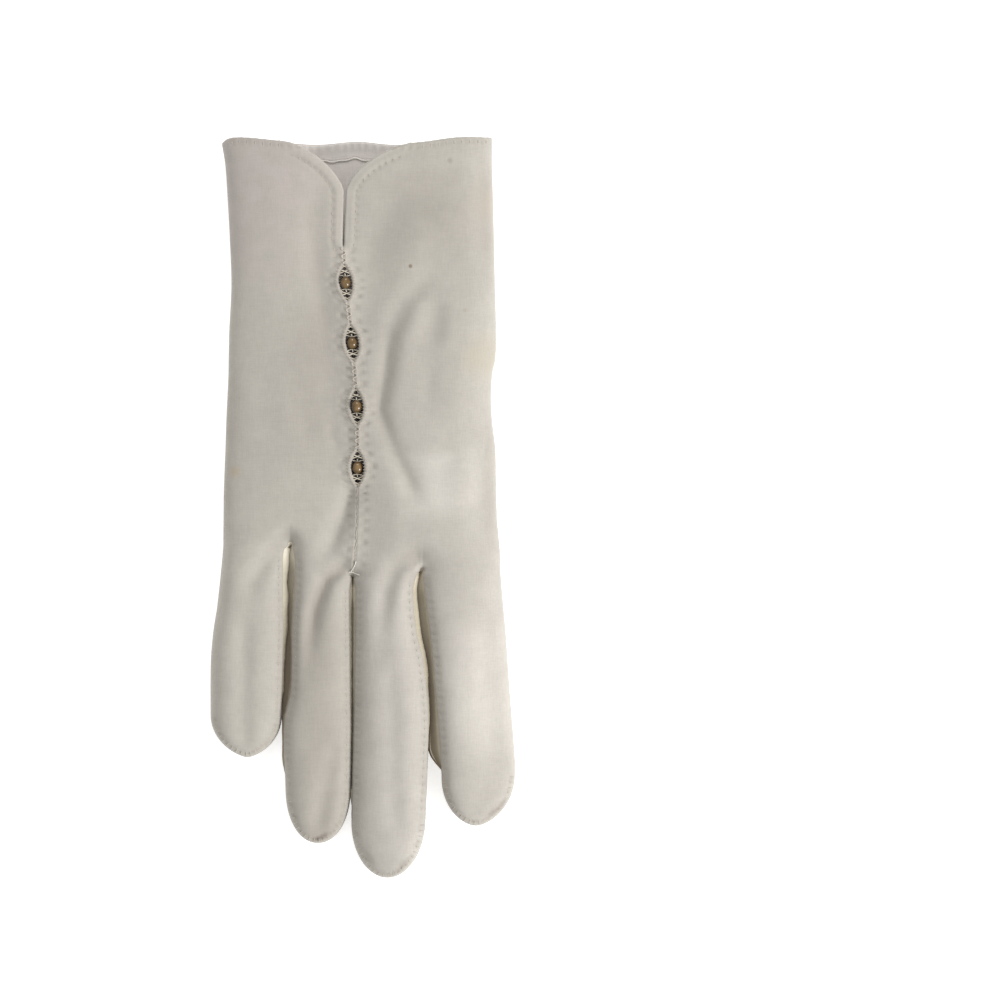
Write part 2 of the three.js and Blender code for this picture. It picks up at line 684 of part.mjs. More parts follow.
// The main piece of cloth: the outside less the hollow, with a doubled hem, the slit and the openings.
function handCloth() {
  const outside = handForm(OUTSIDE_LINES, 0, 2 * WALL);
  const hollow = handForm(INSIDE_LINES, WALL, 4 * WALL);
  const hemHollow = handForm(INSIDE_LINES, WALL + HEM_FOLD, 4 * WALL);
  const hemBox = new THREE.BoxGeometry(3 * PALM_WIDTH, 2 * HEM_DEPTH, 2 * ABOVE_ALL);
  hemBox.translate(0, BODY_LENGTH, 0);
  const hem = solidFrom(hemBox).subtract(hemHollow);
  let cloth = outside.subtract(hollow.subtract(hem)).subtract(beyondCuff());
  cloth = cloth.subtract(prism(slitShape(), seamLevel(SLIT_FOOT_AT).middle, ABOVE_ALL));
  for (const bead of BEADS) {
    cloth = cloth.subtract(prism(openingShape(bead.at), seamLevel(bead.at).middle, ABOVE_ALL));
  }
  for (let k = 0; k + 1 < FINGERS.length; k += 1) cloth = cloth.subtract(fourchetteSpace(k));
  return cloth.subtract(thumbHole());
}

// An oval bead drilled from end to end.
function beadForm() {
  const profile = [];
  const lastTurn = Math.acos(BEAD_HOLE / BEAD_WIDTH);
  for (let i = 0; i <= BEAD_STEPS; i += 1) {
    const turn = lerp(-lastTurn, lastTurn, i / BEAD_STEPS);
    const out = (Math.cos(turn) * BEAD_WIDTH) / 2;
    profile.push(new THREE.Vector2(out, (Math.sin(turn) * BEAD_LENGTH) / 2));
  }
  profile.push(profile[0].clone());
  return new THREE.LatheGeometry(profile, BEAD_SIDES);
}

const cotton = (colour) => new THREE.MeshStandardMaterial({ color: colour, roughness: 0.95, metalness: 0 });
const handCotton = cotton(0xded9cd);
const stripCotton = cotton(0xd8d0bd);
const thumbCotton = cotton(0xdbd6c9);
const pearl = new THREE.MeshStandardMaterial({ color: 0xa5824f, roughness: 0.3, metalness: 0.2 });

// A named mesh from a finished solid.
function meshFrom(solid, name, material) {
  const { vertProperties, triVerts } = solid.getMesh();
  const geometry = new THREE.BufferGeometry();
  geometry.setAttribute("position", new THREE.BufferAttribute(new Float32Array(vertProperties), 3));
  geometry.setIndex(new THREE.BufferAttribute(new Uint32Array(triVerts), 1));
  geometry.computeVertexNormals();
  const mesh = new THREE.Mesh(geometry, material);
  mesh.name = name;
  return mesh;
}

const glove = new THREE.Group();
glove.add(meshFrom(handCloth(), "hand", handCotton));
glove.add(meshFrom(thumbForm(0).subtract(thumbForm(WALL)).subtract(thumbHole()), "thumb", thumbCotton));
["fourchette_little_ring", "fourchette_ring_middle", "fourchette_middle_index"].forEach((name, k) => {
  glove.add(meshFrom(fourchette(k), name, stripCotton));
});
for (const bead of BEADS) {
  const mesh = new THREE.Mesh(beadForm(), pearl);
  mesh.name = bead.name;
  mesh.position.set(seamX(bead.at), planY(bead.at), seamLevel(bead.at).back - WALL / 2);
  glove.add(mesh);
}

// The origin is under the middle of the glove's box.
const box = new THREE.Box3().setFromObject(glove);
const middle = box.getCenter(new THREE.Vector3());
glove.position.set(-middle.x, -middle.y, -box.min.z);

export default glove;
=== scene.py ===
"""Looks of a woman's wrist-length cotton dress glove that lies palm down, its thumb folded under the palm.

Sizes are in millimetres in the plan frame of the glove: x runs from the little finger's side to the index
finger's side, y from the fingertips to the cuff, and z is up. They are turned into metres in the frame at
the end.
"""
import math

import bpy
import numpy as np
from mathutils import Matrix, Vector
from mathutils.bvhtree import BVHTree


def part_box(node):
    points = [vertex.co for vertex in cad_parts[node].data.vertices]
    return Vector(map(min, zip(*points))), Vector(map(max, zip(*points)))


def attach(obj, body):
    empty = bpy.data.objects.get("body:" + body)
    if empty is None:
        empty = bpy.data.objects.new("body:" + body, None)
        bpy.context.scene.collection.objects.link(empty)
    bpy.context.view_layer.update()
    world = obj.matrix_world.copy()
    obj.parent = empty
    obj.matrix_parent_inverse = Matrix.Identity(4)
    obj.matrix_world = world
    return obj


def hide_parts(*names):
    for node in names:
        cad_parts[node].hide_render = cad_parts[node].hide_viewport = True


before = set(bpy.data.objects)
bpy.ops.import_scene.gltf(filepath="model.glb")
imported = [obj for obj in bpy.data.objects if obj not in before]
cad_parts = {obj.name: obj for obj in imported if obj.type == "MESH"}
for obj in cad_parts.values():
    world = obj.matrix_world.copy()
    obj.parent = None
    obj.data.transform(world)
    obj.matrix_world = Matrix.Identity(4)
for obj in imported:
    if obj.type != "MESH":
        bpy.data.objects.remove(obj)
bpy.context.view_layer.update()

MM = 0.001

# Driving sizes, as in the solids.
PALM_WIDTH = 82
BODY_LENGTH = 132
THICKNESS = 10.4
LITTLE_LENGTH = 54.2
RING_LENGTH = 80
MIDDLE_LENGTH = 90.3
INDEX_LENGTH = 74.7
WALL = 0.9
HEM_DEPTH = 5.5
CLEARANCE = 0.3
THUMB_WIDTH = 23
THUMB_THICKNESS = 2.9
THUMB_HOLE_WIDTH = 15
THUMB_HOLE_LENGTH = 24
THUMB_SLOPE = 10
STRIP_HEIGHT = 4
BEAD_WIDTH = 3.2
BEAD_LENGTH = 3.9
BEAD_HOLE = 1
OPENING_LENGTH = 11.6
SLIT_WIDTH = 0.6

EDGE_LEVEL = 0.42
HAND_ROUNDNESS = 5
FINGER_ROUNDNESS = 3
UNDERSIDE_FLATNESS = 1.12
TIP_DROP = 0.35

HALF_PALM = PALM_WIDTH / 2
LIFT = THUMB_THICKNESS + CLEARANCE
RIM = WALL / 2
FORK_RADIUS = 0.5

# Stitching.
STITCH_PITCH = 2.4
HEM_STITCH_IN = 1.0
HEM_STITCH_LENGTH = 0.9
FLAP_STITCH_IN = 2.85
FINGER_STITCH_IN = 1.25
TIP_STITCH_IN = 1.5
TIP_STITCH_PITCH = 1.75
SIDE_STITCH_LENGTH = 0.6
TIP_STITCH_LENGTH = 1.2
THREAD_RADIUS = 0.14
FLAP_STITCH_RADIUS = 0.12
FINGER_STITCH_RADIUS = 0.11
TIP_STITCH_RADIUS = 0.13


def table(columns, *rows):
    """A short table with named columns."""
    return {name: np.array([row[i] for row in rows], float) for i, name in enumerate(columns.split())}


# Outline of the hand from the middle fork (0) to the cuff (1), as shares of half the palm.
HAND_OUTLINE = table(
    "at left right thick",
    (-0.01, 1.032, 1.025, 1),
    (0.084, 1.01, 1.002, 1),
    (0.186, 1.007, 0.99, 1),
    (0.289, 0.995, 0.983, 1),
    (0.357, 0.988, 0.958, 1),
    (0.409, 0.98, 0.951, 1),
    (0.459, 0.973, 0.959, 1),
    (0.498, 0.971, 0.983, 1),
    (0.561, 0.966, 0.988, 1),
    (0.664, 0.951, 0.98, 1),
    (0.766, 0.962, 0.973, 1.03),
    (0.857, 0.978, 0.966, 1.1),
    (0.936, 0.995, 0.959, 1.17),
    (0.984, 1.02, 0.959, 1.22),
)

# How far the cuff's edge falls short of the hand's full length.
CUFF_EDGE = table(
    "at short",
    (-1.02, 0.013),
    (-0.975, 0.004),
    (-0.86, 0.002),
    (-0.62, 0.009),
    (-0.33, 0.016),
    (-0.03, 0.009),
    (0.23, 0.016),
    (0.43, 0.0136),
    (0.7, 0.0023),
    (0.96, 0.001),
)

# Where neighbouring fingers part, and the outer edges beside them.
FORKS = table(
    "across at",
    (-1.01, 0.073),
    (-0.512, 0.073),
    (-0.062, 0),
    (0.446, 0.016),
    (1.019, 0.016),
)

# Fingers from little to index: the edges are shares of half the palm at a share of the length.
FINGERS = [
    {
        "length": LITTLE_LENGTH,
        "cap_from": 0.77,
        "cap_power": 0.65,
        "edges": table(
            "at left right",
            (-0.18, -1.01, -0.55),
            (-0.11, -1.017, -0.569),
            (0.155, -1.054, -0.569),
            (0.299, -1.083, -0.569),
            (0.46, -1.101, -0.574),
            (0.775, -1.103, -0.582),
            (1, -1.096, -0.574),
        ),
    },
    {
        "length": RING_LENGTH,
        "cap_from": 0.8,
        "cap_power": 0.48,
        "edges": table(
            "at left right",
            (-0.12, -0.512, -0.062),
            (-0.075, -0.49, -0.062),
            (0, -0.485, -0.062),
            (0.049, -0.489, -0.08),
            (0.202, -0.508, -0.081),
            (0.424, -0.517, -0.077),
            (0.548, -0.565, -0.073),
            (0.795, -0.555, -0.077),
            (1, -0.557, -0.079),
        ),
    },
    {
        "length": MIDDLE_LENGTH,
        "cap_from": 0.81,
        "cap_power": 0.5,
        "edges": table(
            "at left right",
            (-0.023, -0.062, 0.42),
            (0, -0.062, 0.402),
            (0.043, -0.044, 0.383),
            (0.179, -0.044, 0.406),
            (0.266, -0.048, 0.451),
            (0.375, -0.051, 0.481),
            (0.485, -0.055, 0.495),
            (0.741, -0.069, 0.476),
            (1, -0.081, 0.461),
        ),
    },
    {
        "length": INDEX_LENGTH,
        "cap_from": 0.8,
        "cap_power": 0.58,
        "edges": table(
            "at left right",
            (-0.028, 0.446, 1.019),
            (0.052, 0.461, 1.03),
            (0.217, 0.502, 1.057),
            (0.454, 0.545, 1.087),
            (0.723, 0.582, 1.125),
            (0.795, 0.588, 1.127),
            (1, 0.572, 1.111),
        ),
    },
]

# Middle line of the folded thumb, from its closed end near the wrist to its tip.
THUMB_LINE = table(
    "across at wide",
    (0.63, 0.72, 0.94),
    (0.6, 0.63, 1),
    (0.51, 0.5, 1),
    (0.475, 0.4, 0.97),
    (0.48, 0.3, 0.93),
    (0.5, 0.2, 0.86),
)
THUMB_HOLE = (0.615, 0.64)

# Line of the back's seam, from the middle fork to the slit.
SEAM_LINE = table(
    "at across",
    (0, -0.062),
    (0.06, -0.04),
    (0.13, -0.029),
    (0.248, -0.025),
    (0.387, -0.031),
    (0.531, -0.064),
    (0.668, -0.112),
    (0.748, -0.128),
    (0.875, -0.117),
)
BEAD_PLACES = {"bead_1": 0.668, "bead_2": 0.531, "bead_3": 0.387, "bead_4": 0.248}
SLIT_FOOT_AT = 0.748
FLAPS_MEET_AT = 0.875

# The slit's two curved flaps: the corner at the cuff, and the two points that bend the edge.
FLAPS = {
    "left": {"from": -0.56, "bend": (-0.36, 0.972), "steep": (-0.165, 0.915)},
    "right": {"from": 0.36, "bend": (0.13, 0.965), "steep": (-0.07, 0.92)},
}

# How much of a fold's line, at its start and at its end, it fades over.
FOLD_FADE = (0.2, 0.35)
# What is left of it at the very start and end.
FOLD_LEFT = (0.3, 0.15)
TINY = 0.001


def fold(of, line, width, rise=0, shade=0, fade=FOLD_FADE):
    return {"of": of, "line": line, "width": width, "rise": rise, "shade": shade, "fade": fade}


# Soft ridges and dents of the back, each along a line of places given as across and at.
# width is a share of half the palm, rise of the thickness, and shade is painted shade along the fold,
# painted light where it is below 0.
FOLDS = [
    fold(
        "thumb's side",
        [
            (0.539, 0.7), (0.315, 0.621), (0.218, 0.552), (0.166, 0.436),
            (0.136, 0.376), (0.256, 0.277), (0.446, 0.161),
        ],
        0.085, rise=-0.14, fade=(0.15, 0.12),
    ),
    fold("thumb's knuckle", [(0.55, 0.635), (0.505, 0.509)], 0.085, rise=-0.09),
    fold("below the thumb", [(0.724, 0.277), (0.834, 0.175)], 0.13, rise=0.07),
    fold("index side, cuff", [(0.9, 0.97), (0.915, 0.63)], 0.08, rise=-0.07),
    fold("index side, middle", [(0.92, 0.3), (0.9, 0.194), (0.77, 0.12)], 0.09, rise=-0.05),
    fold("index side, knuckle", [(0.893, 0.277), (0.937, 0.039)], 0.08, rise=-0.08),
    fold("little side", [(-0.34, 0.9), (-0.329, 0.7), (-0.285, 0.62), (-0.24, 0.47)], 0.085, rise=-0.08),
    fold(
        "seam's side",
        [(-0.073, 0.19), (-0.15, 0.124), (-0.24, 0.06), (-0.32, 0.02)],
        0.075, rise=-0.14, fade=(0, 0.5),
    ),
    fold("seam", [(-0.125, 0.72), (-0.031, 0.387), (-0.05, 0.05)], 0.1, rise=0.06),
    fold(
        "little fork",
        [(-0.535, 0.087), (-0.61, 0.068), (-0.73, 0.017), (-0.797, -0.015), (-0.84, -0.08)],
        0.07, rise=-0.13, fade=(0, 0.6),
    ),
    fold(
        "middle fork",
        [(-0.132, 0.022), (-0.252, -0.006), (-0.342, -0.08), (-0.372, -0.145), (-0.39, -0.23)],
        0.065, rise=-0.15, fade=(0, 0.6),
    ),
    fold(
        "index fork",
        [(0.405, 0.045), (0.255, 0.022), (0.181, -0.038), (0.159, -0.1), (0.15, -0.17)],
        0.07, rise=-0.13, fade=(0, 0.6),
    ),
]

# Smaller creases that only the finer cloth here can hold. Their shade is painted shade in the creases and
# seams, and the wide entries with shade alone paint lighter and darker patches.
CREASES = [
    fold(
        "thumb's side",
        [(0.218, 0.552), (0.166, 0.436), (0.136, 0.376), (0.256, 0.277), (0.41, 0.18)],
        0.036, rise=-0.045, shade=0.08, fade=(0.15, 0.12),
    ),
    fold("thumb's knuckle", [(0.51, 0.49), (0.483, 0.357)], 0.06, rise=-0.03),
    fold("thumb's knuckle, ridge", [(0.66, 0.6), (0.63, 0.5)], 0.07, rise=0.025),
    fold("thumb's side, ridge", [(0.42, 0.61), (0.33, 0.54), (0.27, 0.44)], 0.07, rise=0.035),
    fold("beside bead 4", [(-0.207, 0.356), (-0.222, 0.319), (-0.132, 0.282)], 0.035, rise=-0.035),
    fold(
        "seam's side",
        [(-0.085, 0.18), (-0.155, 0.12), (-0.2, 0.085), (-0.3, 0.03)],
        0.04, rise=-0.04, shade=0.08, fade=(0, 0.6),
    ),
    fold(
        "little fork",
        [(-0.54, 0.09), (-0.62, 0.068), (-0.7, 0.035), (-0.78, -0.02)],
        0.055, rise=-0.02, shade=0.13, fade=(0, 0.7),
    ),
    fold(
        "middle fork",
        [(-0.15, 0.018), (-0.252, -0.006), (-0.33, -0.065), (-0.36, -0.12), (-0.38, -0.19)],
        0.04, rise=-0.06, shade=0.28, fade=(0, 0.6),
    ),
    fold(
        "index fork",
        [(0.42, 0.05), (0.3, 0.035), (0.22, -0.02), (0.18, -0.08), (0.17, -0.14)],
        0.06, rise=-0.02, shade=0.12, fade=(0, 0.6),
    ),
    # Wide patches of shade alone: painted light on the middle and index fingers and the knuckle, painted
    # shade on the upper index side and along its folds, and the ring finger and the left of the seam made
    # darker.
    fold("middle finger, clean", [(0.15, -0.06), (0.2, -0.6)], 0.26, shade=-0.2, fade=(0, 0)),
    fold("ring finger, darker", [(-0.28, -0.12), (-0.3, -0.6)], 0.3, shade=0.24, fade=(0, 0)),
    fold("index finger, clean", [(0.83, -0.08), (0.87, -0.45)], 0.3, shade=-0.2),
    fold("upper index side, painted shade", [(0.5, 0.95), (0.62, 0.7)], 0.42, shade=0.15),
    fold("index side, cuff", [(0.9, 0.97), (0.92, 0.63)], 0.05, shade=0.08),
    fold("index side fold, painted shade", [(0.93, 0.38), (0.93, 0.2), (0.97, 0.02)], 0.07, shade=0.12),
    fold("left of the seam", [(-0.38, 0.66), (-0.36, 0.2)], 0.25, shade=0.14),
    fold(
        "little side, shadow",
        [(-0.36, 0.9), (-0.34, 0.7), (-0.29, 0.6), (-0.24, 0.45)],
        0.06, shade=0.08,
    ),
    fold("knuckle, clean", [(0.55, 0.3), (0.6, 0.11)], 0.24, shade=-0.22),
    fold("thumb's upper side", [(0.6, 0.79), (0.75, 0.7)], 0.08, rise=-0.02),
    fold("little side, lower", [(-0.6, 0.45), (-0.5, 0.3)], 0.1, rise=0.015),
    fold("little side, edge", [(-0.75, 0.62), (-0.7, 0.4)], 0.09, rise=-0.015),
    # Dark lines of painted shade in the open and rolled seams round the tips.
    fold(
        "ring's open tip",
        [(-0.365, -0.6), (-0.285, -0.589), (-0.225, -0.578)],
        0.017, rise=-0.05, shade=0.6,
    ),
    fold(
        "index's rolled tip",
        [(0.914, -0.543), (1.002, -0.525), (1.08, -0.502)],
        0.02, rise=-0.04, shade=0.45,
    ),
    fold("middle's rolled tip, right", [(0.271, -0.661), (0.344, -0.639)], 0.02, rise=-0.04, shade=0.35),
    fold("middle's rolled tip, left", [(0.022, -0.62), (0.095, -0.657)], 0.02, rise=-0.04, shade=0.3),
]

# Soft dents along the fingers: from and to are shares of the length, beside and to_beside of half the width.
FINGER_DENTS = table(
    "finger from beside to to_beside width rise",
    (0, 0.3, -0.1, 0.9, -0.1, 0.3, -0.07),
    (1, 0.66, 0.5, 0.92, 0.05, 0.3, -0.09),
    (2, 0.35, 0.05, 0.8, 0.15, 0.3, -0.06),
    (3, 0.2, 0.5, 0.7, 0.45, 0.3, -0.06),
)

# Mesh density: columns across one finger, and the rows' spacing.
BACK_COLUMNS = 24
PALM_COLUMNS = 8
CROTCH_COLUMNS = 3
ROW_STEP = 0.52
FLAP_ROWS = 38
CAP_ROWS = 22


def lerp(a, b, share):
    return a + (b - a) * share


def smooth(value, low, high):
    """0 below low and 1 above high, with soft ends."""
    share = np.clip((value - low) / (high - low), 0, 1)
    return share * share * (3 - 2 * share)


def bump_at(value, middle, width):
    return np.exp(-(((value - middle) / width) ** 2))


def rounded(u, power):
    return np.sqrt(np.maximum(0, 1 - np.abs(u) ** power))


def track(rows, column, place):
    """One column of a table at a place along it, on a smooth curve through the rows."""
    at, values = rows["at"], rows[column]
    last = len(at) - 1
    after = np.minimum(np.arange(last + 1) + 1, last)
    before = np.maximum(np.arange(last + 1) - 1, 0)
    slopes = (values[after] - values[before]) / (at[after] - at[before])
    k = np.clip(np.searchsorted(at, place, side="right") - 1, 0, last - 1)
    span = at[k + 1] - at[k]
    t = np.clip((place - at[k]) / span, 0, 1)
    eased = lerp(values[k], values[k + 1], t * t * (3 - 2 * t))
    return eased + span * t * (1 - t) * ((1 - t) * slopes[k] - t * slopes[k + 1])


def along_line(x, y, line):
    """Distance in plan from points to a line, and the length along the line where they are nearest."""
    line = np.asarray(line, float)
    best = np.full(np.shape(x), 1e9)
    where = np.zeros(np.shape(x))
    walked = 0.0
    for (x1, y1), (x2, y2) in zip(line[:-1], line[1:]):
        dx, dy = x2 - x1, y2 - y1
        length = math.hypot(dx, dy)
        if length == 0:
            continue
        t = np.clip(((x - x1) * dx + (y - y1) * dy) / length**2, 0, 1)
        away = np.hypot(x - x1 - t * dx, y - y1 - t * dy)
        where = np.where(away < best, walked + t * length, where)
        best = np.minimum(best, away)
        walked += length
    return best, where


def walked_lengths(points):
    """Length along a line of points, at each of them."""
    return np.concatenate([[0], np.cumsum(np.linalg.norm(np.diff(points, axis=0), axis=1))])


def places_at(lengths, walked, points):
    """Plan places at some lengths along a line of points."""
    return np.stack([np.interp(lengths, walked, points[:, i]) for i in (0, 1)], -1)


def ripple(x, y, wavelength, seed, waves=7):
    """Soft irregular unevenness, mostly between -1 and 1."""
    random = np.random.default_rng(seed)
    total = np.zeros(np.shape(x))
    for _ in range(waves):
        turn, phase = random.uniform(0, 2 * math.pi, 2)
        length = wavelength * random.uniform(0.7, 1.5)
        total += np.sin((x * math.cos(turn) + y * math.sin(turn)) * 2 * math.pi / length + phase)
    return total / waves**0.5


def plan_x(across):
    return across * HALF_PALM


def plan_y(at):
    return at * BODY_LENGTH


def fork_place(k):
    return plan_x(FORKS["across"][k]), plan_y(FORKS["at"][k])


def hand_edges(y):
    at = y / BODY_LENGTH
    return -plan_x(track(HAND_OUTLINE, "left", at)), plan_x(track(HAND_OUTLINE, "right", at))


def cap_share(finger, y):
    return np.clip((-y / finger["length"] - finger["cap_from"]) / (1 - finger["cap_from"]), 0, 1)


def finger_edges(finger, y):
    at = -y / finger["length"]
    left = plan_x(track(finger["edges"], "left", at))
    right = plan_x(track(finger["edges"], "right", at))
    narrowing = (1 - cap_share(finger, y) ** 2) ** finger["cap_power"]
    middle, half = (left + right) / 2, (right - left) / 2 * narrowing
    return middle - half, middle + half


def cuff_y(x):
    return plan_y(1 - track(CUFF_EDGE, "short", x / HALF_PALM)) - RIM


def seam_x(y):
    return plan_x(track(SEAM_LINE, "across", y / BODY_LENGTH))


def ground_lift(x, y, reach=THUMB_WIDTH / 2 + 1, slope=THUMB_SLOPE):
    """How high the thumb holds the palm off the ground."""
    places = np.stack([plan_x(THUMB_LINE["across"]), plan_y(THUMB_LINE["at"])], 1)
    tip_y = places[-1][1]
    slow = THUMB_SLOPE / (tip_y + INDEX_LENGTH)
    near_y = np.where(y < tip_y, tip_y + (y - tip_y) * slow, y)
    away, _ = along_line(x, near_y, places)
    return LIFT * (1 - smooth(away, reach, reach + slope))


def fold_sum(x, y, folds, column):
    """One column of the folds, summed at a place: less beside a fold's line and towards its two ends."""
    total = np.zeros(np.shape(x))
    for fold in folds:
        if fold[column]:
            line = [(plan_x(a), plan_y(b)) for a, b in fold["line"]]
            away, walked = along_line(x, y, line)
            share = walked / sum(math.dist(a, b) for a, b in zip(line, line[1:]))
            first, last = fold["fade"]
            held = lerp(FOLD_LEFT[0], 1, smooth(share, -TINY, first))
            held = held * lerp(FOLD_LEFT[1], 1, smooth(1 - share, -TINY, last))
            total += held * fold[column] * np.exp(-((away / plan_x(fold["width"])) ** 2))
    return total


def fold_rise(x, y, folds):
    return fold_sum(x, y, folds, "rise") * THICKNESS


def dent_rise(x, y):
    rise = np.zeros(np.shape(x))
    for i in range(len(FINGER_DENTS["rise"])):
        dent = {name: values[i] for name, values in FINGER_DENTS.items()}
        finger = FINGERS[int(dent["finger"])]
        ends = []
        for at, beside in ((dent["from"], dent["beside"]), (dent["to"], dent["to_beside"])):
            left, right = finger_edges(finger, -at * finger["length"])
            ends.append((lerp(left, right, (beside + 1) / 2), -at * finger["length"]))
        half = plan_x(finger["edges"]["right"][0] - finger["edges"]["left"][0]) / 2
        away, _ = along_line(x, y, ends)
        rise += dent["rise"] * np.exp(-((away / (dent["width"] * half)) ** 2))
    return rise * THICKNESS


def hand_thickness(y):
    return THICKNESS * track(HAND_OUTLINE, "thick", y / BODY_LENGTH)


def edge_level(x, y, drop=0.0, thickness=THICKNESS):
    return ground_lift(x, y) + thickness * EDGE_LEVEL * (1 - drop)


def back_height(x, y, fullness, thickness, drop=0.0):
    up = thickness * (1 - EDGE_LEVEL)
    # The back bends over the thumb in a wider curve than the palm does.
    up = up + ground_lift(x, y, THUMB_WIDTH / 2 - 3, 1.6 * THUMB_SLOPE) - ground_lift(x, y)
    return edge_level(x, y, drop, thickness) + (up + fold_rise(x, y, FOLDS) + dent_rise(x, y)) * fullness


def palm_height(x, y, fullness, thickness, drop=0.0):
    down = thickness * EDGE_LEVEL * np.minimum(1, fullness * UNDERSIDE_FLATNESS)
    return np.maximum(edge_level(x, y, drop, thickness) - down, 0)


# The seam's openings, the slit and the flaps' edges.
OPENING_HALF = BEAD_WIDTH / 2 + CLEARANCE + RIM
OPENING_END = OPENING_LENGTH / 2


def lip_offset(y):
    """How far each edge of the back stands off the seam's line."""
    offset = np.zeros(np.shape(y))
    for at in BEAD_PLACES.values():
        v = (y - plan_y(at)) / OPENING_END
        offset = np.maximum(offset, OPENING_HALF * np.clip(1 - v * v, 0, 1))
    foot, meet = plan_y(SLIT_FOOT_AT), plan_y(FLAPS_MEET_AT)
    share = np.clip((y - foot) / (meet - foot), 0, 1)
    slit = (SLIT_WIDTH / 2 * (0.6 + 0.4 * share) + RIM) * np.sqrt(np.clip(share * 8, 0, 1))
    return np.maximum(offset, slit)


def bezier(points, steps):
    """Points at even lengths along a cubic curve."""
    p = np.array(points, float)
    t = np.linspace(0, 1, 200)[:, None]
    curve = (1 - t) ** 3 * p[0] + 3 * t * (1 - t) ** 2 * p[1] + 3 * t**2 * (1 - t) * p[2] + t**3 * p[3]
    walked = walked_lengths(curve)
    return places_at(np.linspace(0, walked[-1], steps + 1), walked, curve)


def flap_edge(side, steps):
    """The curved edge of one flap, from the cuff to where the two flaps meet."""
    flap = FLAPS[side]
    sign = -1 if side == "left" else 1
    corner_x = plan_x(flap["from"])
    meet_y = plan_y(FLAPS_MEET_AT)
    foot = (seam_x(meet_y) + sign * lip_offset(meet_y), meet_y)
    bends = [(plan_x(a), plan_y(b)) for a, b in (flap["bend"], flap["steep"])]
    return bezier([(corner_x, cuff_y(corner_x)), *bends, foot], steps)


def slit_edge(side):
    """A flap's edge and its side of the slit, for the stitches beside them."""
    sign = -1 if side == "left" else 1
    ys = np.linspace(plan_y(FLAPS_MEET_AT), plan_y(SLIT_FOOT_AT), 12)[1:]
    return np.concatenate([flap_edge(side, 30), np.stack([seam_x(ys) + sign * lip_offset(ys), ys], 1)])


def finger_outline(k, steps=60):
    """A finger's outline, from the fork on its left round the tip to the fork on its right."""
    finger = FINGERS[k]
    straight = np.linspace(0, finger["cap_from"], steps)
    cap = finger["cap_from"] + (1 - finger["cap_from"]) * np.sin(np.linspace(0, math.pi / 2, 24))[1:]
    at = np.concatenate([straight, cap])
    ys = -at * finger["length"]
    left, right = finger_edges(finger, ys)
    down = np.stack([left, ys], 1)
    up = np.stack([right, ys], 1)[::-1]
    left_top = np.array([[left[0], fork_place(k)[1]]])
    right_top = np.array([[right[0], fork_place(k + 1)[1]]])
    return np.concatenate([left_top, down, up[1:], right_top])


# Relief of the cloth's surface, in millimetres, and the painted shade and painted light that go with its
# creases, dents and edges.
SEAM_DIMPLES_OFF = 2.4
SEAM_DIMPLE_PITCH = 3.1
LIP_LUMP_PITCH = 1.5


def pricks_at(length, pitch=STITCH_PITCH):
    """1 at each stitch along a line, and 0 between."""
    return (0.5 + 0.5 * np.cos(2 * math.pi * length / pitch)) ** 2


def seam_relief(x, y):
    """Dimples and lumps beside the back's seam, with painted shade in the dimples and between the lips and
    painted light on the lumps.
    """
    across = x - seam_x(y)
    off = np.abs(across) - lip_offset(y)
    side = np.sign(across)
    on_seam = smooth(y, 0, 6) * smooth(-y, -plan_y(SLIT_FOOT_AT) - 3, -plan_y(SLIT_FOOT_AT) + 2)
    near_opening = np.zeros(np.shape(x))
    for at in BEAD_PLACES.values():
        near_opening = np.maximum(near_opening, bump_at(y, plan_y(at), OPENING_END * 1.15))
    lower = smooth(-y, -plan_y(0.2), -plan_y(0.16))
    uneven = ripple(y, 0 * y, 13, 5)
    cycle = y / lerp(SEAM_DIMPLE_PITCH, 3.6, lower) + side * 0.22 + 0.2 * uneven
    prick = (0.5 + 0.5 * np.cos(2 * math.pi * cycle)) ** 2
    depth = 1 + 0.35 * ripple(x, y, 6, 6)
    dimple = bump_at(off, SEAM_DIMPLES_OFF, 0.85) * prick * depth
    swelling = bump_at(off, SEAM_DIMPLES_OFF - 0.6, 1.3) * (1 - prick) * (1 - np.exp(-((off / 0.6) ** 2)))
    rise = (0.26 * swelling - 0.42 * dimple) * (0.75 + 0.25 * near_opening)
    lumps = 0.5 + 0.5 * np.cos(2 * math.pi * (y / LIP_LUMP_PITCH + side * 0.3) + 1.5 * uneven)
    rise += (0.3 + 0.2 * lumps) * bump_at(off, 0.25, 0.75) * (1 - 0.35 * lower)
    rise += 0.12 * bump_at(off, 4, 1.5) * prick * near_opening
    rise -= 0.3 * bump_at(off, 0, 0.16) * (1 - near_opening)
    # Painted shade in the dimples, between the lumps and in the line between the lips; painted light on the
    # lumps.
    shade = 0.14 * dimple + 0.1 * bump_at(off, 1.15, 0.4) * (1 - lumps) * near_opening
    between_lips = 0.22 * bump_at(off, 0, 0.16) - 0.07 * bump_at(off, 0.5, 0.5) * lumps
    shade += between_lips * (1 - 0.5 * near_opening)
    return on_seam * rise, on_seam * shade


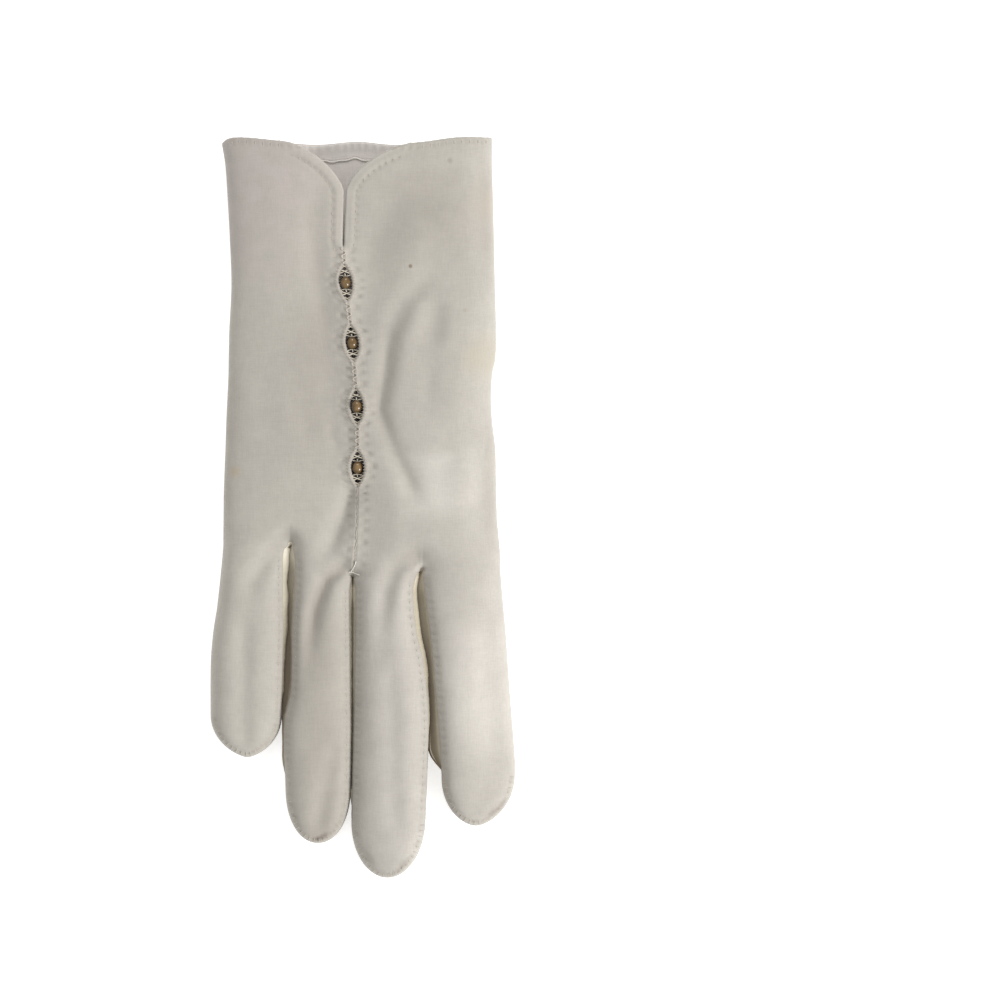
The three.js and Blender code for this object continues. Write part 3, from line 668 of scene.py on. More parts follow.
def edge_relief(x, y):
    """Stitched edges of the cuff and the two flaps, with painted shade in the stitch dents and painted light
    on the flaps' rolled edges.
    """
    from_cuff = cuff_y(x) - y
    prick = pricks_at(x)
    rise = -0.2 * bump_at(from_cuff, HEM_STITCH_IN, 0.8) * prick + 0.08 * bump_at(from_cuff, 0.4, 0.5)
    # Painted shade in the hem's stitch dents.
    shade = 0.1 * bump_at(from_cuff, HEM_STITCH_IN, 0.7) * prick
    for sign, name in ((-1, "left"), (1, "right")):
        away, length = along_line(x, y, slit_edge(name))
        own = np.where(sign * (x - seam_x(y)) > -0.2, 1.0, 0.0)
        own = own * smooth(y, plan_y(SLIT_FOOT_AT) - 4, plan_y(SLIT_FOOT_AT))
        own = own * smooth(length, 0, 7)
        prick = pricks_at(length)
        rise -= own * bump_at(away, FLAP_STITCH_IN, 0.6) * (0.06 + 0.28 * prick)
        rise += own * bump_at(away, FLAP_STITCH_IN - 1.3, 0.9) * (0.16 - 0.08 * prick)
        # Painted shade in the flap's stitch dents, and painted light on its rolled edge.
        shade += own * bump_at(away, FLAP_STITCH_IN, 0.55) * (0.02 + 0.11 * prick)
        shade -= own * 0.06 * bump_at(away, 0.3, 0.5)
    return rise, shade


def back_relief(x, y):
    rise = fold_rise(x, y, CREASES) + 0.13 * ripple(x, y * 0.6, 23, 3) + 0.04 * ripple(x, y * 0.7, 9, 4)
    # The creases' painted shade and painted light.
    shade = fold_sum(x, y, CREASES, "shade")
    # A raised rim round the little and index forks, with painted light on it.
    for k in (1, 3):
        fx, fy = fork_place(k)
        rim = bump_at(np.hypot(x - fx, y - fy), 1.5, 0.9)
        rise = rise + 0.18 * rim
        shade = shade - 0.12 * rim
    for more_rise, more_shade in (seam_relief(x, y), edge_relief(x, y)):
        rise = rise + more_rise
        shade = shade + more_shade
    return rise, shade


def finger_relief(k, x, y, back):
    """Welts, stitch dents and the whipped seam round the tip of one finger."""
    finger = FINGERS[k]
    outline = finger_outline(k)
    away, length = along_line(x, y, outline)
    middle = (finger_edges(finger, y)[0] + finger_edges(finger, y)[1]) / 2
    folded = ((k == 0) & (x < middle)) | ((k == 3) & (x > middle))
    tip = smooth(-y / finger["length"], finger["cap_from"] - 0.04, finger["cap_from"] + 0.03)
    sewn = np.where(folded, tip, 1.0) * smooth(fork_place(1 if k < 1 else k)[1] + 3 - y, 0, 3)
    uneven = 1 + 0.3 * ripple(x, y, 5, 70 + k)
    prick = pricks_at(length) * (1 - tip) + pricks_at(length, TIP_STITCH_PITCH) * tip
    inset = lerp(FINGER_STITCH_IN, TIP_STITCH_IN, tip)
    dent = bump_at(away, inset, 0.65)
    rise = -sewn * uneven * dent * (0.06 + (0.22 + 0.08 * tip) * prick)
    rise += sewn * bump_at(away, 0.45, 0.45) * (0.2 - 0.1 * prick)
    # Painted shade in the stitch dents, and in a dotted line along the tip's whipped seam.
    shade = sewn * uneven * dent * (0.03 + (0.15 + 0.07 * tip) * prick)
    shade += sewn * tip * 0.07 * bump_at(away, 0.35, 0.3) * pricks_at(length + 0.6, 1.2)
    if back:
        rise += 0.07 * ripple(x, y * 0.35, 11, 8 + k) + 0.02 * ripple(x, y * 0.5, 5, 18 + k)
        rise += fold_rise(x, y, CREASES)
        shade += fold_sum(x, y, CREASES, "shade")
    return rise, shade


# Painted light: the inner cloth is lightened, so that the shaded insides of the notch, the openings and the
# gaps show less dark.
INSIDE_PAINTED_LIGHT = -0.7
# Points nearer than this are one, and the shift keeps round sizes off the cells' edges.
SAME_PLACE = 0.002
CELL_SHIFT = 0.000317


class Cloth:
    """Grids of points that meet along shared edges and make one closed shell with rounded rims."""

    def __init__(self):
        self.points, self.shades, self.quads, self.coarse = [], [], [], []
        self.count = 0

    def add(self, points, shade, keep_rows, keep_columns, outward):
        rows, columns = points.shape[:2]
        ids = self.count + np.arange(rows * columns).reshape(rows, columns)
        self.count += rows * columns
        self.points.append(points.reshape(-1, 3))
        self.shades.append(shade.reshape(-1))
        self.quads.append(self.faces_of(ids, outward))
        self.coarse.append(self.faces_of(ids[np.ix_(keep_rows, keep_columns)], not outward))

    @staticmethod
    def faces_of(ids, outward):
        quads = np.stack([ids[:-1, :-1], ids[1:, :-1], ids[1:, 1:], ids[:-1, 1:]], -1).reshape(-1, 4)
        return quads if outward else quads[:, ::-1]

    @staticmethod
    def without_repeats(quads):
        faces = []
        for quad in quads.tolist():
            face = [a for i, a in enumerate(quad) if a != quad[i - 1]]
            if len(face) > 2:
                faces.append(face)
        return faces

    def shell(self, wall, rings=3):
        """Points, faces and shades of the closed shell."""
        points = np.concatenate(self.points)
        shades = np.concatenate(self.shades)
        key = np.round((points + CELL_SHIFT) / SAME_PLACE).astype(np.int64)
        _, first, merged = np.unique(key, axis=0, return_index=True, return_inverse=True)
        merged = merged.reshape(-1)
        points, shades = points[first], shades[first]
        outer = self.without_repeats(merged[np.concatenate(self.quads)])
        inner = self.without_repeats(merged[np.concatenate(self.coarse)])
        normals = vertex_normals(points, outer)
        used = sorted({v for face in inner for v in face})
        inner_id = {v: len(points) + i for i, v in enumerate(used)}
        all_points = [points, points[used] - normals[used] * wall]
        all_shades = [shades, np.full(len(used), INSIDE_PAINTED_LIGHT)]
        faces = outer + [[inner_id[v] for v in face] for face in inner]
        total = len(points) + len(used)
        for loop in border_loops(outer):
            ring_points, ring_faces = rim_of(loop, points, normals, wall, rings, inner_id, total)
            all_points.append(ring_points)
            all_shades.append(np.repeat(shades[loop], rings))
            faces += ring_faces
            total += len(ring_points)
        return np.concatenate(all_points), faces, np.concatenate(all_shades)


def vertex_normals(points, faces):
    normals = np.zeros_like(points)
    for size in (3, 4):
        some = np.array([face for face in faces if len(face) == size])
        if len(some) == 0:
            continue
        corners = points[some]
        spans = corners[:, 2] - corners[:, 0]
        others = corners[:, 3] - corners[:, 1] if size == 4 else corners[:, 2] - corners[:, 1]
        area = np.cross(spans, others) if size == 4 else np.cross(corners[:, 1] - corners[:, 0], spans)
        for i in range(size):
            np.add.at(normals, some[:, i], area)
    return normals / np.maximum(np.linalg.norm(normals, axis=1, keepdims=True), 1e-12)


def border_loops(faces):
    """Closed loops of the edges that only one face has, in the direction that the face runs."""
    edges = {(a, b) for face in faces for a, b in zip(face, face[1:] + face[:1])}
    follow = {a: b for a, b in edges if (b, a) not in edges}
    loops = []
    while follow:
        start = min(follow)
        loop = [start]
        step = follow.pop(start)
        while step != start:
            loop.append(step)
            step = follow.pop(step)
        loops.append(loop)
    return loops


def rim_of(loop, points, normals, wall, rings, inner_id, base):
    """A half round rim from a border of the outer cloth to the sparser border of the inner cloth."""
    ids = np.array(loop)
    p, n = points[ids], normals[ids]
    along = np.roll(p, -1, 0) - np.roll(p, 1, 0)
    off = np.cross(along, n)
    off /= np.maximum(np.linalg.norm(off, axis=1, keepdims=True), 1e-12)
    count = len(ids)
    turns = [math.pi * (i + 1) / (rings + 1) for i in range(rings)]
    made = np.stack([p - n * wall / 2 + wall / 2 * (math.cos(t) * n + math.sin(t) * off) for t in turns], 1)

    def ring_id(i, r):
        return base + (i % count) * rings + r

    faces = []
    for i in range(count):
        j = (i + 1) % count
        faces.append([loop[j], loop[i], ring_id(i, 0), ring_id(j, 0)])
        for r in range(rings - 1):
            faces.append([ring_id(j, r), ring_id(i, r), ring_id(i, r + 1), ring_id(j, r + 1)])
    kept = [i for i in range(count) if loop[i] in inner_id]
    for a, b in zip(kept, kept[1:] + [kept[0] + count]):
        stretch = list(range(a, b + 1))
        middle = stretch[len(stretch) // 2]
        first, last = inner_id[loop[a]], inner_id[loop[b % count]]
        for i in stretch[:-1]:
            corner = first if i < middle else last
            faces.append([ring_id(i + 1, rings - 1), ring_id(i, rings - 1), corner])
        faces.append([ring_id(middle, rings - 1), first, last])
    return made.reshape(-1, 3), faces


# Rows and columns of the hand's cloth.
def seam_rows():
    """Places down the seam for the rows below the flaps, and which of them the inner cloth keeps."""
    stops = [FLAPS_MEET_AT, SLIT_FOOT_AT]
    for at in BEAD_PLACES.values():
        stops += [at + OPENING_END / BODY_LENGTH, at - OPENING_END / BODY_LENGTH]
    stops.append(FORK_RADIUS / BODY_LENGTH)
    rows, keep = [stops[0]], [0]
    for a, b in zip(stops, stops[1:]):
        steps = 2 * max(2, round(plan_y(a - b) / ROW_STEP / 2))
        rows += [lerp(a, b, (i + 1) / steps) for i in range(steps)]
        keep += [len(rows) - 1 - i for i in range(steps - 2, -1, -2)]
    return np.array(rows), sorted(set(keep))


SEAM_ROWS, SEAM_KEEP = seam_rows()
SEAM_SHARES = ((SEAM_ROWS[0] - SEAM_ROWS) / (SEAM_ROWS[0] - SEAM_ROWS[-1]))[:, None]
BODY_KEEP = list(range(0, FLAP_ROWS, 2)) + [FLAP_ROWS + i for i in SEAM_KEEP]


def finer_ends(count, amount=0.45):
    t = np.linspace(0, 1, count + 1)
    return t - amount * np.sin(2 * math.pi * t) / (2 * math.pi)


def fork_columns(columns, fingers, from_seam=False, to_seam=False):
    """The row through the forks: places, places across the finger, and what the inner cloth keeps."""
    xs, ys, us, keep, groups = [], [], [], [], {}

    def crotch(k, first, last):
        fx, fy = fork_place(k)
        for i in range(first, last + 1):
            turn = math.pi * (i / (CROTCH_COLUMNS + 1) - 0.5)
            if i == (CROTCH_COLUMNS + 1) // 2:
                keep.append(len(xs))
            xs.append(fx + FORK_RADIUS * math.sin(turn))
            ys.append(fy + FORK_RADIUS * math.cos(turn))
            us.append(1.0)

    half = (CROTCH_COLUMNS + 1) // 2
    if from_seam:
        crotch(fingers[0], half, CROTCH_COLUMNS)
    for k in fingers:
        (lx, ly), (rx, ry) = fork_place(k), fork_place(k + 1)
        left = lx + (FORK_RADIUS if k > 0 else 0)
        right = rx - (FORK_RADIUS if k < 3 else 0)
        start = len(xs)
        for share in finer_ends(columns):
            x = lerp(left, right, share)
            across = (x - lx) / (rx - lx)
            xs.append(x)
            ys.append(lerp(ly, ry, across))
            us.append(2 * across - 1)
        keep += list(range(start, start + columns + 1, 2))
        groups[k] = slice(start, start + columns + 1)
        if k < fingers[-1]:
            crotch(k + 1, 1, CROTCH_COLUMNS)
    if to_seam:
        crotch(fingers[-1] + 1, 1, half)
    return np.array(xs), np.array(ys), np.array(us), sorted(set(keep)), groups


# At a fork the cloth stands as high as the strip's slot is.
SLOT_HALF = STRIP_HEIGHT / 2 + CLEARANCE
BACK_SLOT_FULLNESS = SLOT_HALF / (THICKNESS * (1 - EDGE_LEVEL))
PALM_SLOT_FULLNESS = SLOT_HALF / (THICKNESS * EDGE_LEVEL * UNDERSIDE_FLATNESS)
SLOT_STANDS_OUT = 0.8


def slot_u(fullness):
    return (1 - np.clip(fullness, 0, 1) ** 2) ** (1 / FINGER_ROUNDNESS)


def body_fullness(x, y, fork_y, finger_u, at_fork=0):
    """How full the hand stands at a place, down to the valleys round the forks."""
    left, right = hand_edges(y)
    u = np.clip(2 * (x - left) / (right - left) - 1, -1, 1)
    top = BODY_LENGTH + 2
    late = np.clip(((top - y) / (top - fork_y) - 0.9) / 0.1, 0, 1)
    forks = [fork_place(k) for k in range(len(FORKS["at"]))]
    fork_x = [place[0] for place in forks]
    halves = np.diff(fork_x) / 2
    from_side = 1 - np.clip(np.minimum((x - left) / halves[0], (right - x) / halves[-1]), 0, 1)
    wide = lerp(rounded(u, HAND_ROUNDNESS), rounded(from_side, FINGER_ROUNDNESS), late**3.5)
    above = y - np.interp(x, fork_x, [place[1] for place in forks])
    for k in (1, 2, 3):
        beside = x - fork_x[k]
        half = np.where(beside < 0, halves[k - 1], halves[k])
        near = 1 - np.clip(np.hypot(beside, above) / half, 0, 1)
        wide = np.minimum(wide, rounded(np.minimum(near, slot_u(at_fork)), FINGER_ROUNDNESS))
    at_finger = rounded(np.clip(np.abs(finger_u), 0, 1), FINGER_ROUNDNESS)
    return lerp(wide, at_finger, late**40)


def at_slots(us, fullness):
    """Places across the fingers in the row at the forks, with each sewn side at its slot's edge."""
    return np.where(np.abs(us) >= 1, np.sign(us) * slot_u(fullness), us)


# The cuff's corners, and from where the rows' places turn into those at the forks.
CORNER_AT = 0.985
TO_FORKS_FROM = 0.86


def side_curve(i):
    """A side fold from the cuff's corner to where the flaps meet: 0 is the left one, -1 the right one."""
    corner_x = hand_edges(np.array(BODY_LENGTH * CORNER_AT))[i]
    ys = np.linspace(cuff_y(corner_x), plan_y(FLAPS_MEET_AT), FLAP_ROWS + 1)
    xs = hand_edges(ys)[i]
    xs = xs + np.linspace(1, 0, FLAP_ROWS + 1) ** 2 * (corner_x - xs[0])
    return np.stack([xs, ys], 1)


def body_half(side):
    """Plan places of the back's cloth on one side of the seam, from the cuff to the forks."""
    left_half = side == "left"
    fingers = (0, 1) if left_half else (2, 3)
    xs, ys, us, keep, groups = fork_columns(BACK_COLUMNS, fingers, not left_half, left_half)
    outer, at_seam, sign = (0, -1, -1) if left_half else (-1, 0, 1)
    even = finer_ends(len(xs) - 1, 0.5)
    if not left_half:
        even = 1 - even
    at_forks = (xs - xs[outer]) / (xs[at_seam] - xs[outer])
    y = lerp(plan_y(FLAPS_MEET_AT), ys[None, :], SEAM_SHARES)
    s = lerp(even[None, :], at_forks[None, :], SEAM_SHARES**2)
    x = lerp(hand_edges(y)[outer], seam_x(y) + sign * lip_offset(y), s)
    x = lerp(x, xs[None, :], smooth(SEAM_SHARES, TO_FORKS_FROM, 1))
    lower = np.stack([x, y], -1)
    outer_curve = side_curve(outer)
    flap = flap_edge(side, FLAP_ROWS)
    top_x = lerp(outer_curve[0][0], flap[0][0], even)
    top = np.stack([top_x, cuff_y(top_x)], 1)
    upper = even_blend(outer_curve, flap, top, lower[0], even, left_half)
    places = np.concatenate([upper[:-1], lower])
    fork_y = np.broadcast_to(ys[None, :], places.shape[:2])
    fork_u = np.broadcast_to(us[None, :], places.shape[:2])
    return places, fork_y, fork_u, keep, groups


def even_blend(outer_curve, flap, top, bottom, even, left_half):
    """A patch between four curves, with its columns spaced as the rows below have them."""
    first, last = (outer_curve, flap) if left_half else (flap, outer_curve)
    s = (even if left_half else 1 - even)[None, :, None]
    t = np.linspace(0, 1, len(first))[:, None, None]
    sides = lerp(first[:, None], last[:, None], s)
    ends = lerp(top[None], bottom[None], t)
    corners = lerp(lerp(first[0], last[0], s), lerp(first[-1], last[-1], s), t)
    return sides + ends - corners


FORK_ARCH = 2.8
# How far a strip's slot narrows towards the tip, and how abruptly it closes there.
SLOT_NARROWS = 0.5
SLOT_CLOSES = 14


def fork_arch(fall):
    """1 at a fork and 0 where the finger's edge runs straight, round between them."""
    return 1 - rounded(1 - np.clip(fall / FORK_ARCH, 0, 1), 2)


def finger_grid(k, columns, fork_row, fork_u, back):
    """Plan places, fullness and tip drop of one face of a finger, below its row at the forks."""
    finger = FINGERS[k]
    straight = 2 * round((finger["length"] * finger["cap_from"]) / ROW_STEP / 2)
    cap_y = -finger["length"] * finger["cap_from"]
    share = np.linspace(0, 1, straight + 1)[:, None]
    ys = lerp(fork_row[None, :, 1], cap_y, share)
    turns = np.linspace(0, math.pi / 2, CAP_ROWS + 1)[1:, None]
    cap_ys = cap_y - finger["length"] * (1 - finger["cap_from"]) * np.sin(turns)
    ys = np.concatenate([ys, np.broadcast_to(cap_ys, (CAP_ROWS, ys.shape[1]))])
    rows = len(ys)
    # Half the height of the strip's slot on a sewn side: it tapers, and closes where the tip starts.
    leg = np.clip(np.arange(rows) / straight, 0, 1)
    tall = (STRIP_HEIGHT / 2 * lerp(1, SLOT_NARROWS, leg**3) + CLEARANCE)
    tall = tall * np.sqrt(np.clip((1 - leg) * SLOT_CLOSES, 0, 1))
    full = BACK_SLOT_FULLNESS if back else PALM_SLOT_FULLNESS
    cut = slot_u(full * tall / SLOT_HALF)[:, None]
    low = -cut if k > 0 else -np.ones_like(cut)
    high = cut if k < 3 else np.ones_like(cut)
    spread = finer_ends(columns)[None, :]
    u = lerp(low, high, spread)
    u[0] = fork_u
    left, right = finger_edges(finger, ys)
    # A slot's edges stand out as far as the finger's outline does.
    xs = lerp(left, right, lerp((u + 1) / 2, spread, SLOT_STANDS_OUT))
    # The first rows come from the row at the forks.
    ease = fork_arch(fork_row[None, :, 1] - ys)
    shift = fork_row[None, :, 0] - xs[0][None, :]
    xs = xs + shift * ease
    cap = cap_share(finger, ys)
    fullness = rounded(np.abs(u), FINGER_ROUNDNESS) * rounded(cap, FINGER_ROUNDNESS)
    fullness[:, 0] = np.where(np.abs(u[:, 0]) > 1 - 1e-9, 0, fullness[:, 0])
    fullness[:, -1] = np.where(np.abs(u[:, -1]) > 1 - 1e-9, 0, fullness[:, -1])
    keep_rows = list(range(0, straight, 2)) + list(range(straight, rows, 2))
    if keep_rows[-1] != rows - 1:
        keep_rows.append(rows - 1)
    return np.stack([xs, ys], -1), fullness, TIP_DROP * cap**2, keep_rows


def with_height(places, heights):
    return np.concatenate([places, heights[..., None]], -1)


LIPS_TOUCH = 0.0001


def add_back(cloth):
    """The two halves of the back, which meet at the seam, and the back of each finger."""
    fork_rows = {}
    for side in ("left", "right"):
        places, fork_y, fork_u, keep, groups = body_half(side)
        x, y = places[..., 0], places[..., 1]
        fork_u = at_slots(fork_u, BACK_SLOT_FULLNESS)
        outer = 0 if side == "left" else -1
        fork_u[:, outer] = -1 if side == "left" else 1
        fullness = body_fullness(x, y, fork_y, fork_u, BACK_SLOT_FULLNESS)
        fullness[:, outer] = 0
        relief, shade = back_relief(x, y)
        fade = smooth(fullness, 0, 0.5)
        z = back_height(x, y, fullness, hand_thickness(y)) + relief * fade
        points = with_height(places, z)
        if side == "left":
            left_lip = points[:, -1]
        else:
            # Where the lips touch, both halves share their points.
            touching = np.linalg.norm((points[:, 0] - left_lip)[:, :2], axis=1) < LIPS_TOUCH
            points[touching, 0] = left_lip[touching]
        cloth.add(points, shade * fade, BODY_KEEP, keep, True)
        for k, columns in groups.items():
            fork_rows[k] = (points[-1, columns], fork_u[-1, columns], (shade * fade)[-1, columns])
    for k, (row, row_u, row_shade) in fork_rows.items():
        places, fullness, drop, keep_rows = finger_grid(k, BACK_COLUMNS, row[:, :2], row_u, True)
        x, y = places[..., 0], places[..., 1]
        relief, shade = finger_relief(k, x, y, True)
        body, body_shade = back_relief(x, y)
        from_fork = smooth(row[None, :, 1] - y, 0, 6)
        fade = smooth(fullness, 0, 0.5)
        relief = lerp(body, relief, from_fork) * fade
        shade = lerp(body_shade, shade, from_fork) * fade
        points = with_height(places, back_height(x, y, fullness, THICKNESS, drop) + relief)
        points[0] = row
        shade[0] = row_shade
        cloth.add(points, shade, keep_rows, list(range(0, BACK_COLUMNS + 1, 2)), True)


def add_palm(cloth):
    """The palm, whose rows meet the back's at both side folds, and the palm's side of each finger."""
    xs, ys, us, keep, groups = fork_columns(PALM_COLUMNS, (0, 1, 2, 3))
    y = lerp(plan_y(FLAPS_MEET_AT), ys[None, :], SEAM_SHARES)
    even = finer_ends(len(xs) - 1, 0.3)
    s = lerp(even[None, :], ((xs - xs[0]) / (xs[-1] - xs[0]))[None, :], SEAM_SHARES**2)
    left, right = hand_edges(y)
    x = lerp(lerp(left, right, s), xs[None, :], smooth(SEAM_SHARES, TO_FORKS_FROM, 1))
    lower = np.stack([x, y], -1)
    curves = [side_curve(i) for i in (0, -1)]
    top_x = lerp(curves[0][0][0], curves[1][0][0], even)
    top = np.stack([top_x, cuff_y(top_x)], 1)
    upper = even_blend(*curves, top, lower[0], even, True)
    places = np.concatenate([upper[:-1], lower])
    x, y = places[..., 0], places[..., 1]
    fork_y = np.broadcast_to(ys[None, :], x.shape)
    fork_u = at_slots(us, PALM_SLOT_FULLNESS)
    fork_u[0], fork_u[-1] = -1, 1
    fullness = body_fullness(x, y, fork_y, fork_u[None, :], PALM_SLOT_FULLNESS)
    fullness[:, 0] = fullness[:, -1] = 0
    points = with_height(places, palm_height(x, y, fullness, hand_thickness(y)))
    cloth.add(points, np.zeros(x.shape), BODY_KEEP, keep, False)
    for k, columns in groups.items():
        row = points[-1, columns]
        grid = finger_grid(k, PALM_COLUMNS, row[:, :2], fork_u[columns], False)
        places, fullness, drop, keep_rows = grid
        x, y = places[..., 0], places[..., 1]
        finger = with_height(places, palm_height(x, y, fullness, THICKNESS, drop))
        finger[0] = row
        cloth.add(finger, np.zeros(x.shape), keep_rows, list(range(0, PALM_COLUMNS + 1, 2)), False)


def hand_cloth():
    """Points, faces and shades of the one piece of cloth that makes back, palm and fingers."""
    cloth = Cloth()
    add_back(cloth)
    add_palm(cloth)
    return cloth.shell(WALL)


def one_sheet(points, shade, wall):
    """Points, faces and shades of a shell whose inner cloth keeps every point."""
    cloth = Cloth()
    rows, columns = points.shape[:2]
    cloth.add(points, shade, list(range(rows)), list(range(columns)), True)
    return cloth.shell(wall)


# From plan millimetres to the frame.
def frame_offset():
    low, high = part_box("bead_1")
    middle = (low + high) / 2
    y = plan_y(BEAD_PLACES["bead_1"])
    return np.array([middle.x - float(seam_x(np.array(y))) * MM, middle.y - y * MM, 0])


OFFSET = frame_offset()


def to_frame(points):
    return np.asarray(points, float) * MM + OFFSET


def make_object(name, points, faces, material, shades=None):
    mesh = bpy.data.meshes.new(name)
    mesh.from_pydata(to_frame(points).tolist(), [], [list(map(int, face)) for face in faces])
    mesh.update()
    mesh.polygons.foreach_set("use_smooth", [True] * len(mesh.polygons))
    if shades is not None:
        layer = mesh.attributes.new("shade", "FLOAT", "POINT")
        layer.data.foreach_set("value", np.asarray(shades, np.float32))
    mesh.materials.append(material)
    made = bpy.data.objects.new(name, mesh)
    bpy.context.scene.collection.objects.link(made)
    return made


def dress(piece, slot, *nodes):
    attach(piece, "root")
    if nodes:
        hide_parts(*nodes)
    return piece


# Materials.
def node(tree, kind, inputs=(), **settings):
    made = tree.nodes.new(kind)
    for name, value in settings.items():
        setattr(made, name, value)
    for key, value in dict(inputs).items():
        if isinstance(value, bpy.types.NodeSocket):
            tree.links.new(value, made.inputs[key])
        else:
            made.inputs[key].default_value = value
    return made


def math_node(tree, operation, a, b, clamp=False):
    return node(tree, "ShaderNodeMath", {0: a, 1: b}, operation=operation, use_clamp=clamp).outputs[0]


def times(tree, a, b):
    return math_node(tree, "MULTIPLY", a, b)


def mixed(tree, share, a, b, blend="MIX"):
    inputs = {0: share, 6: a, 7: b}
    return node(tree, "ShaderNodeMix", inputs, data_type="RGBA", blend_type=blend).outputs[2]


def noise(tree, place, scale, detail, roughness=0.5):
    inputs = {"Vector": place, "Scale": scale, "Detail": detail, "Roughness": roughness}
    return node(tree, "ShaderNodeTexNoise", inputs).outputs["Fac"]


def ranged(tree, value, low, high, to_low=0.0, to_high=1.0, **settings):
    """A value moved from one range to another, and held inside it."""
    inputs = {0: value, 1: low, 2: high, 3: to_low, 4: to_high}
    return node(tree, "ShaderNodeMapRange", inputs, **settings).outputs[0]


def new_material(name):
    """A material, its node tree and its shader."""
    material = bpy.data.materials.new(name)
    material.use_nodes = True
    return material, material.node_tree, material.node_tree.nodes["Principled BSDF"]


def set_values(shader, values):
    for name, value in values.items():
        shader.inputs[name].default_value = value


def spot(tree, place, centre, radius, soft):
    """1 near a place in the plan, and 0 away from it."""
    x, y, _ = to_frame([*centre, 0])
    flat = node(tree, "ShaderNodeVectorMath", {0: place, 1: (1, 1, 0)}, operation="MULTIPLY").outputs[0]
    away = node(tree, "ShaderNodeVectorMath", {0: flat, 1: (x, y, 0)}, operation="DISTANCE").outputs["Value"]
    near, far = radius * MM, (radius + soft) * MM
    return ranged(tree, away, near, far, 1.0, 0.0, interpolation_type="SMOOTHSTEP")


# Specks and stains: where they are, as shares, their size and softness in millimetres, colour and strength.
MARKS = [
    {"at": (0.363, 0.705), "size": 0.3, "soft": 0.5, "colour": (0.16, 0.11, 0.06, 1), "strength": 0.75},
    {"at": (0.651, 0.945), "size": 0.3, "soft": 0.9, "colour": (0.25, 0.23, 0.19, 1), "strength": 0.5},
    {"at": (0.761, 0.605), "size": 0.2, "soft": 0.8, "colour": (0.3, 0.27, 0.2, 1), "strength": 0.35},
    {"at": (-0.922, 0.239), "size": 0.4, "soft": 2.2, "colour": (0.42, 0.31, 0.17, 1), "strength": 0.45},
    {"at": (0.9, 0.5), "size": 1.0, "soft": 9, "colour": (0.4, 0.355, 0.26, 1), "strength": 0.45},
    {"at": (0.93, 0.85), "size": 1.0, "soft": 8, "colour": (0.42, 0.355, 0.29, 1), "strength": 0.4},
    {"at": (-0.75, 0.86), "size": 4, "soft": 34, "colour": (0.45, 0.375, 0.375, 1), "strength": 0.35},
]


def cotton(name, colour, other, weave=0.35, marks=(), deep=(0.2, 0.165, 0.14)):
    """Fine knitted cotton: a faint rib both ways, uneven tint, fuzz, marks, and the painted shade and
    painted light that its shade attribute carries.
    """
    material, tree, shader = new_material(name)
    place = node(tree, "ShaderNodeTexCoord").outputs["Object"]
    tint = ranged(tree, noise(tree, place, 28.0, 3.0, 0.55), 0.38, 0.62)
    colours = mixed(tree, tint, (*colour, 1), (*other, 1))
    wide = noise(tree, place, 150.0, 4.0, 0.6)
    tone = ranged(tree, wide, 0.3, 0.7, 0.955, 1.03)
    streaks = []
    for stretch in ((2700, 260, 900), (260, 2700, 900)):
        drawn = node(tree, "ShaderNodeVectorMath", {0: place, 1: stretch}, operation="MULTIPLY").outputs[0]
        streaks.append(noise(tree, drawn, 1.0, 2.0))
    rib = times(tree, math_node(tree, "ADD", *streaks), 0.5)
    fuzz = noise(tree, place, 1900.0, 3.0, 0.7)
    threads = ranged(tree, rib, 0.35, 0.65, 0.95, 1.04)
    threads = times(tree, threads, ranged(tree, fuzz, 0.0, 1.0, 0.93, 1.07))
    # The shade attribute is painted light and shade: above 0 it mixes the colour towards the deep
    # painted-shade colour, below 0 it lightens the colour and cools it a little.
    shade = node(tree, "ShaderNodeAttribute", attribute_name="shade").outputs["Fac"]
    lightening = math_node(tree, "MINIMUM", shade, 0.0)
    light = math_node(tree, "SUBTRACT", 1.0, lightening)
    factor = times(tree, times(tree, tone, threads), light)
    blue = times(tree, factor, math_node(tree, "SUBTRACT", 1.0, times(tree, lightening, 0.1)))
    grey = node(tree, "ShaderNodeCombineColor", {0: factor, 1: factor, 2: blue}).outputs[0]
    colours = mixed(tree, 1.0, colours, grey, "MULTIPLY")
    for mark in marks:
        across, at = mark["at"]
        mask = spot(tree, place, (plan_x(across), plan_y(at)), mark["size"], mark["soft"])
        ragged = ranged(tree, wide, 0.25, 0.6)
        mask = times(tree, mask, times(tree, ragged, mark["strength"]))
        colours = mixed(tree, mask, colours, mark["colour"])
    colours = mixed(tree, math_node(tree, "MAXIMUM", shade, 0.0, True), colours, (*deep, 1))
    tree.links.new(colours, shader.inputs["Base Color"])
    height = math_node(tree, "ADD", times(tree, rib, 1.2), fuzz)
    bump = node(tree, "ShaderNodeBump", {"Height": height, "Strength": weave, "Distance": 0.00012})
    tree.links.new(bump.outputs[0], shader.inputs["Normal"])
    values = {"Roughness": 0.95, "Specular IOR Level": 0.2, "Sheen Weight": 0.12, "Sheen Roughness": 0.6}
    set_values(shader, values)
    return material


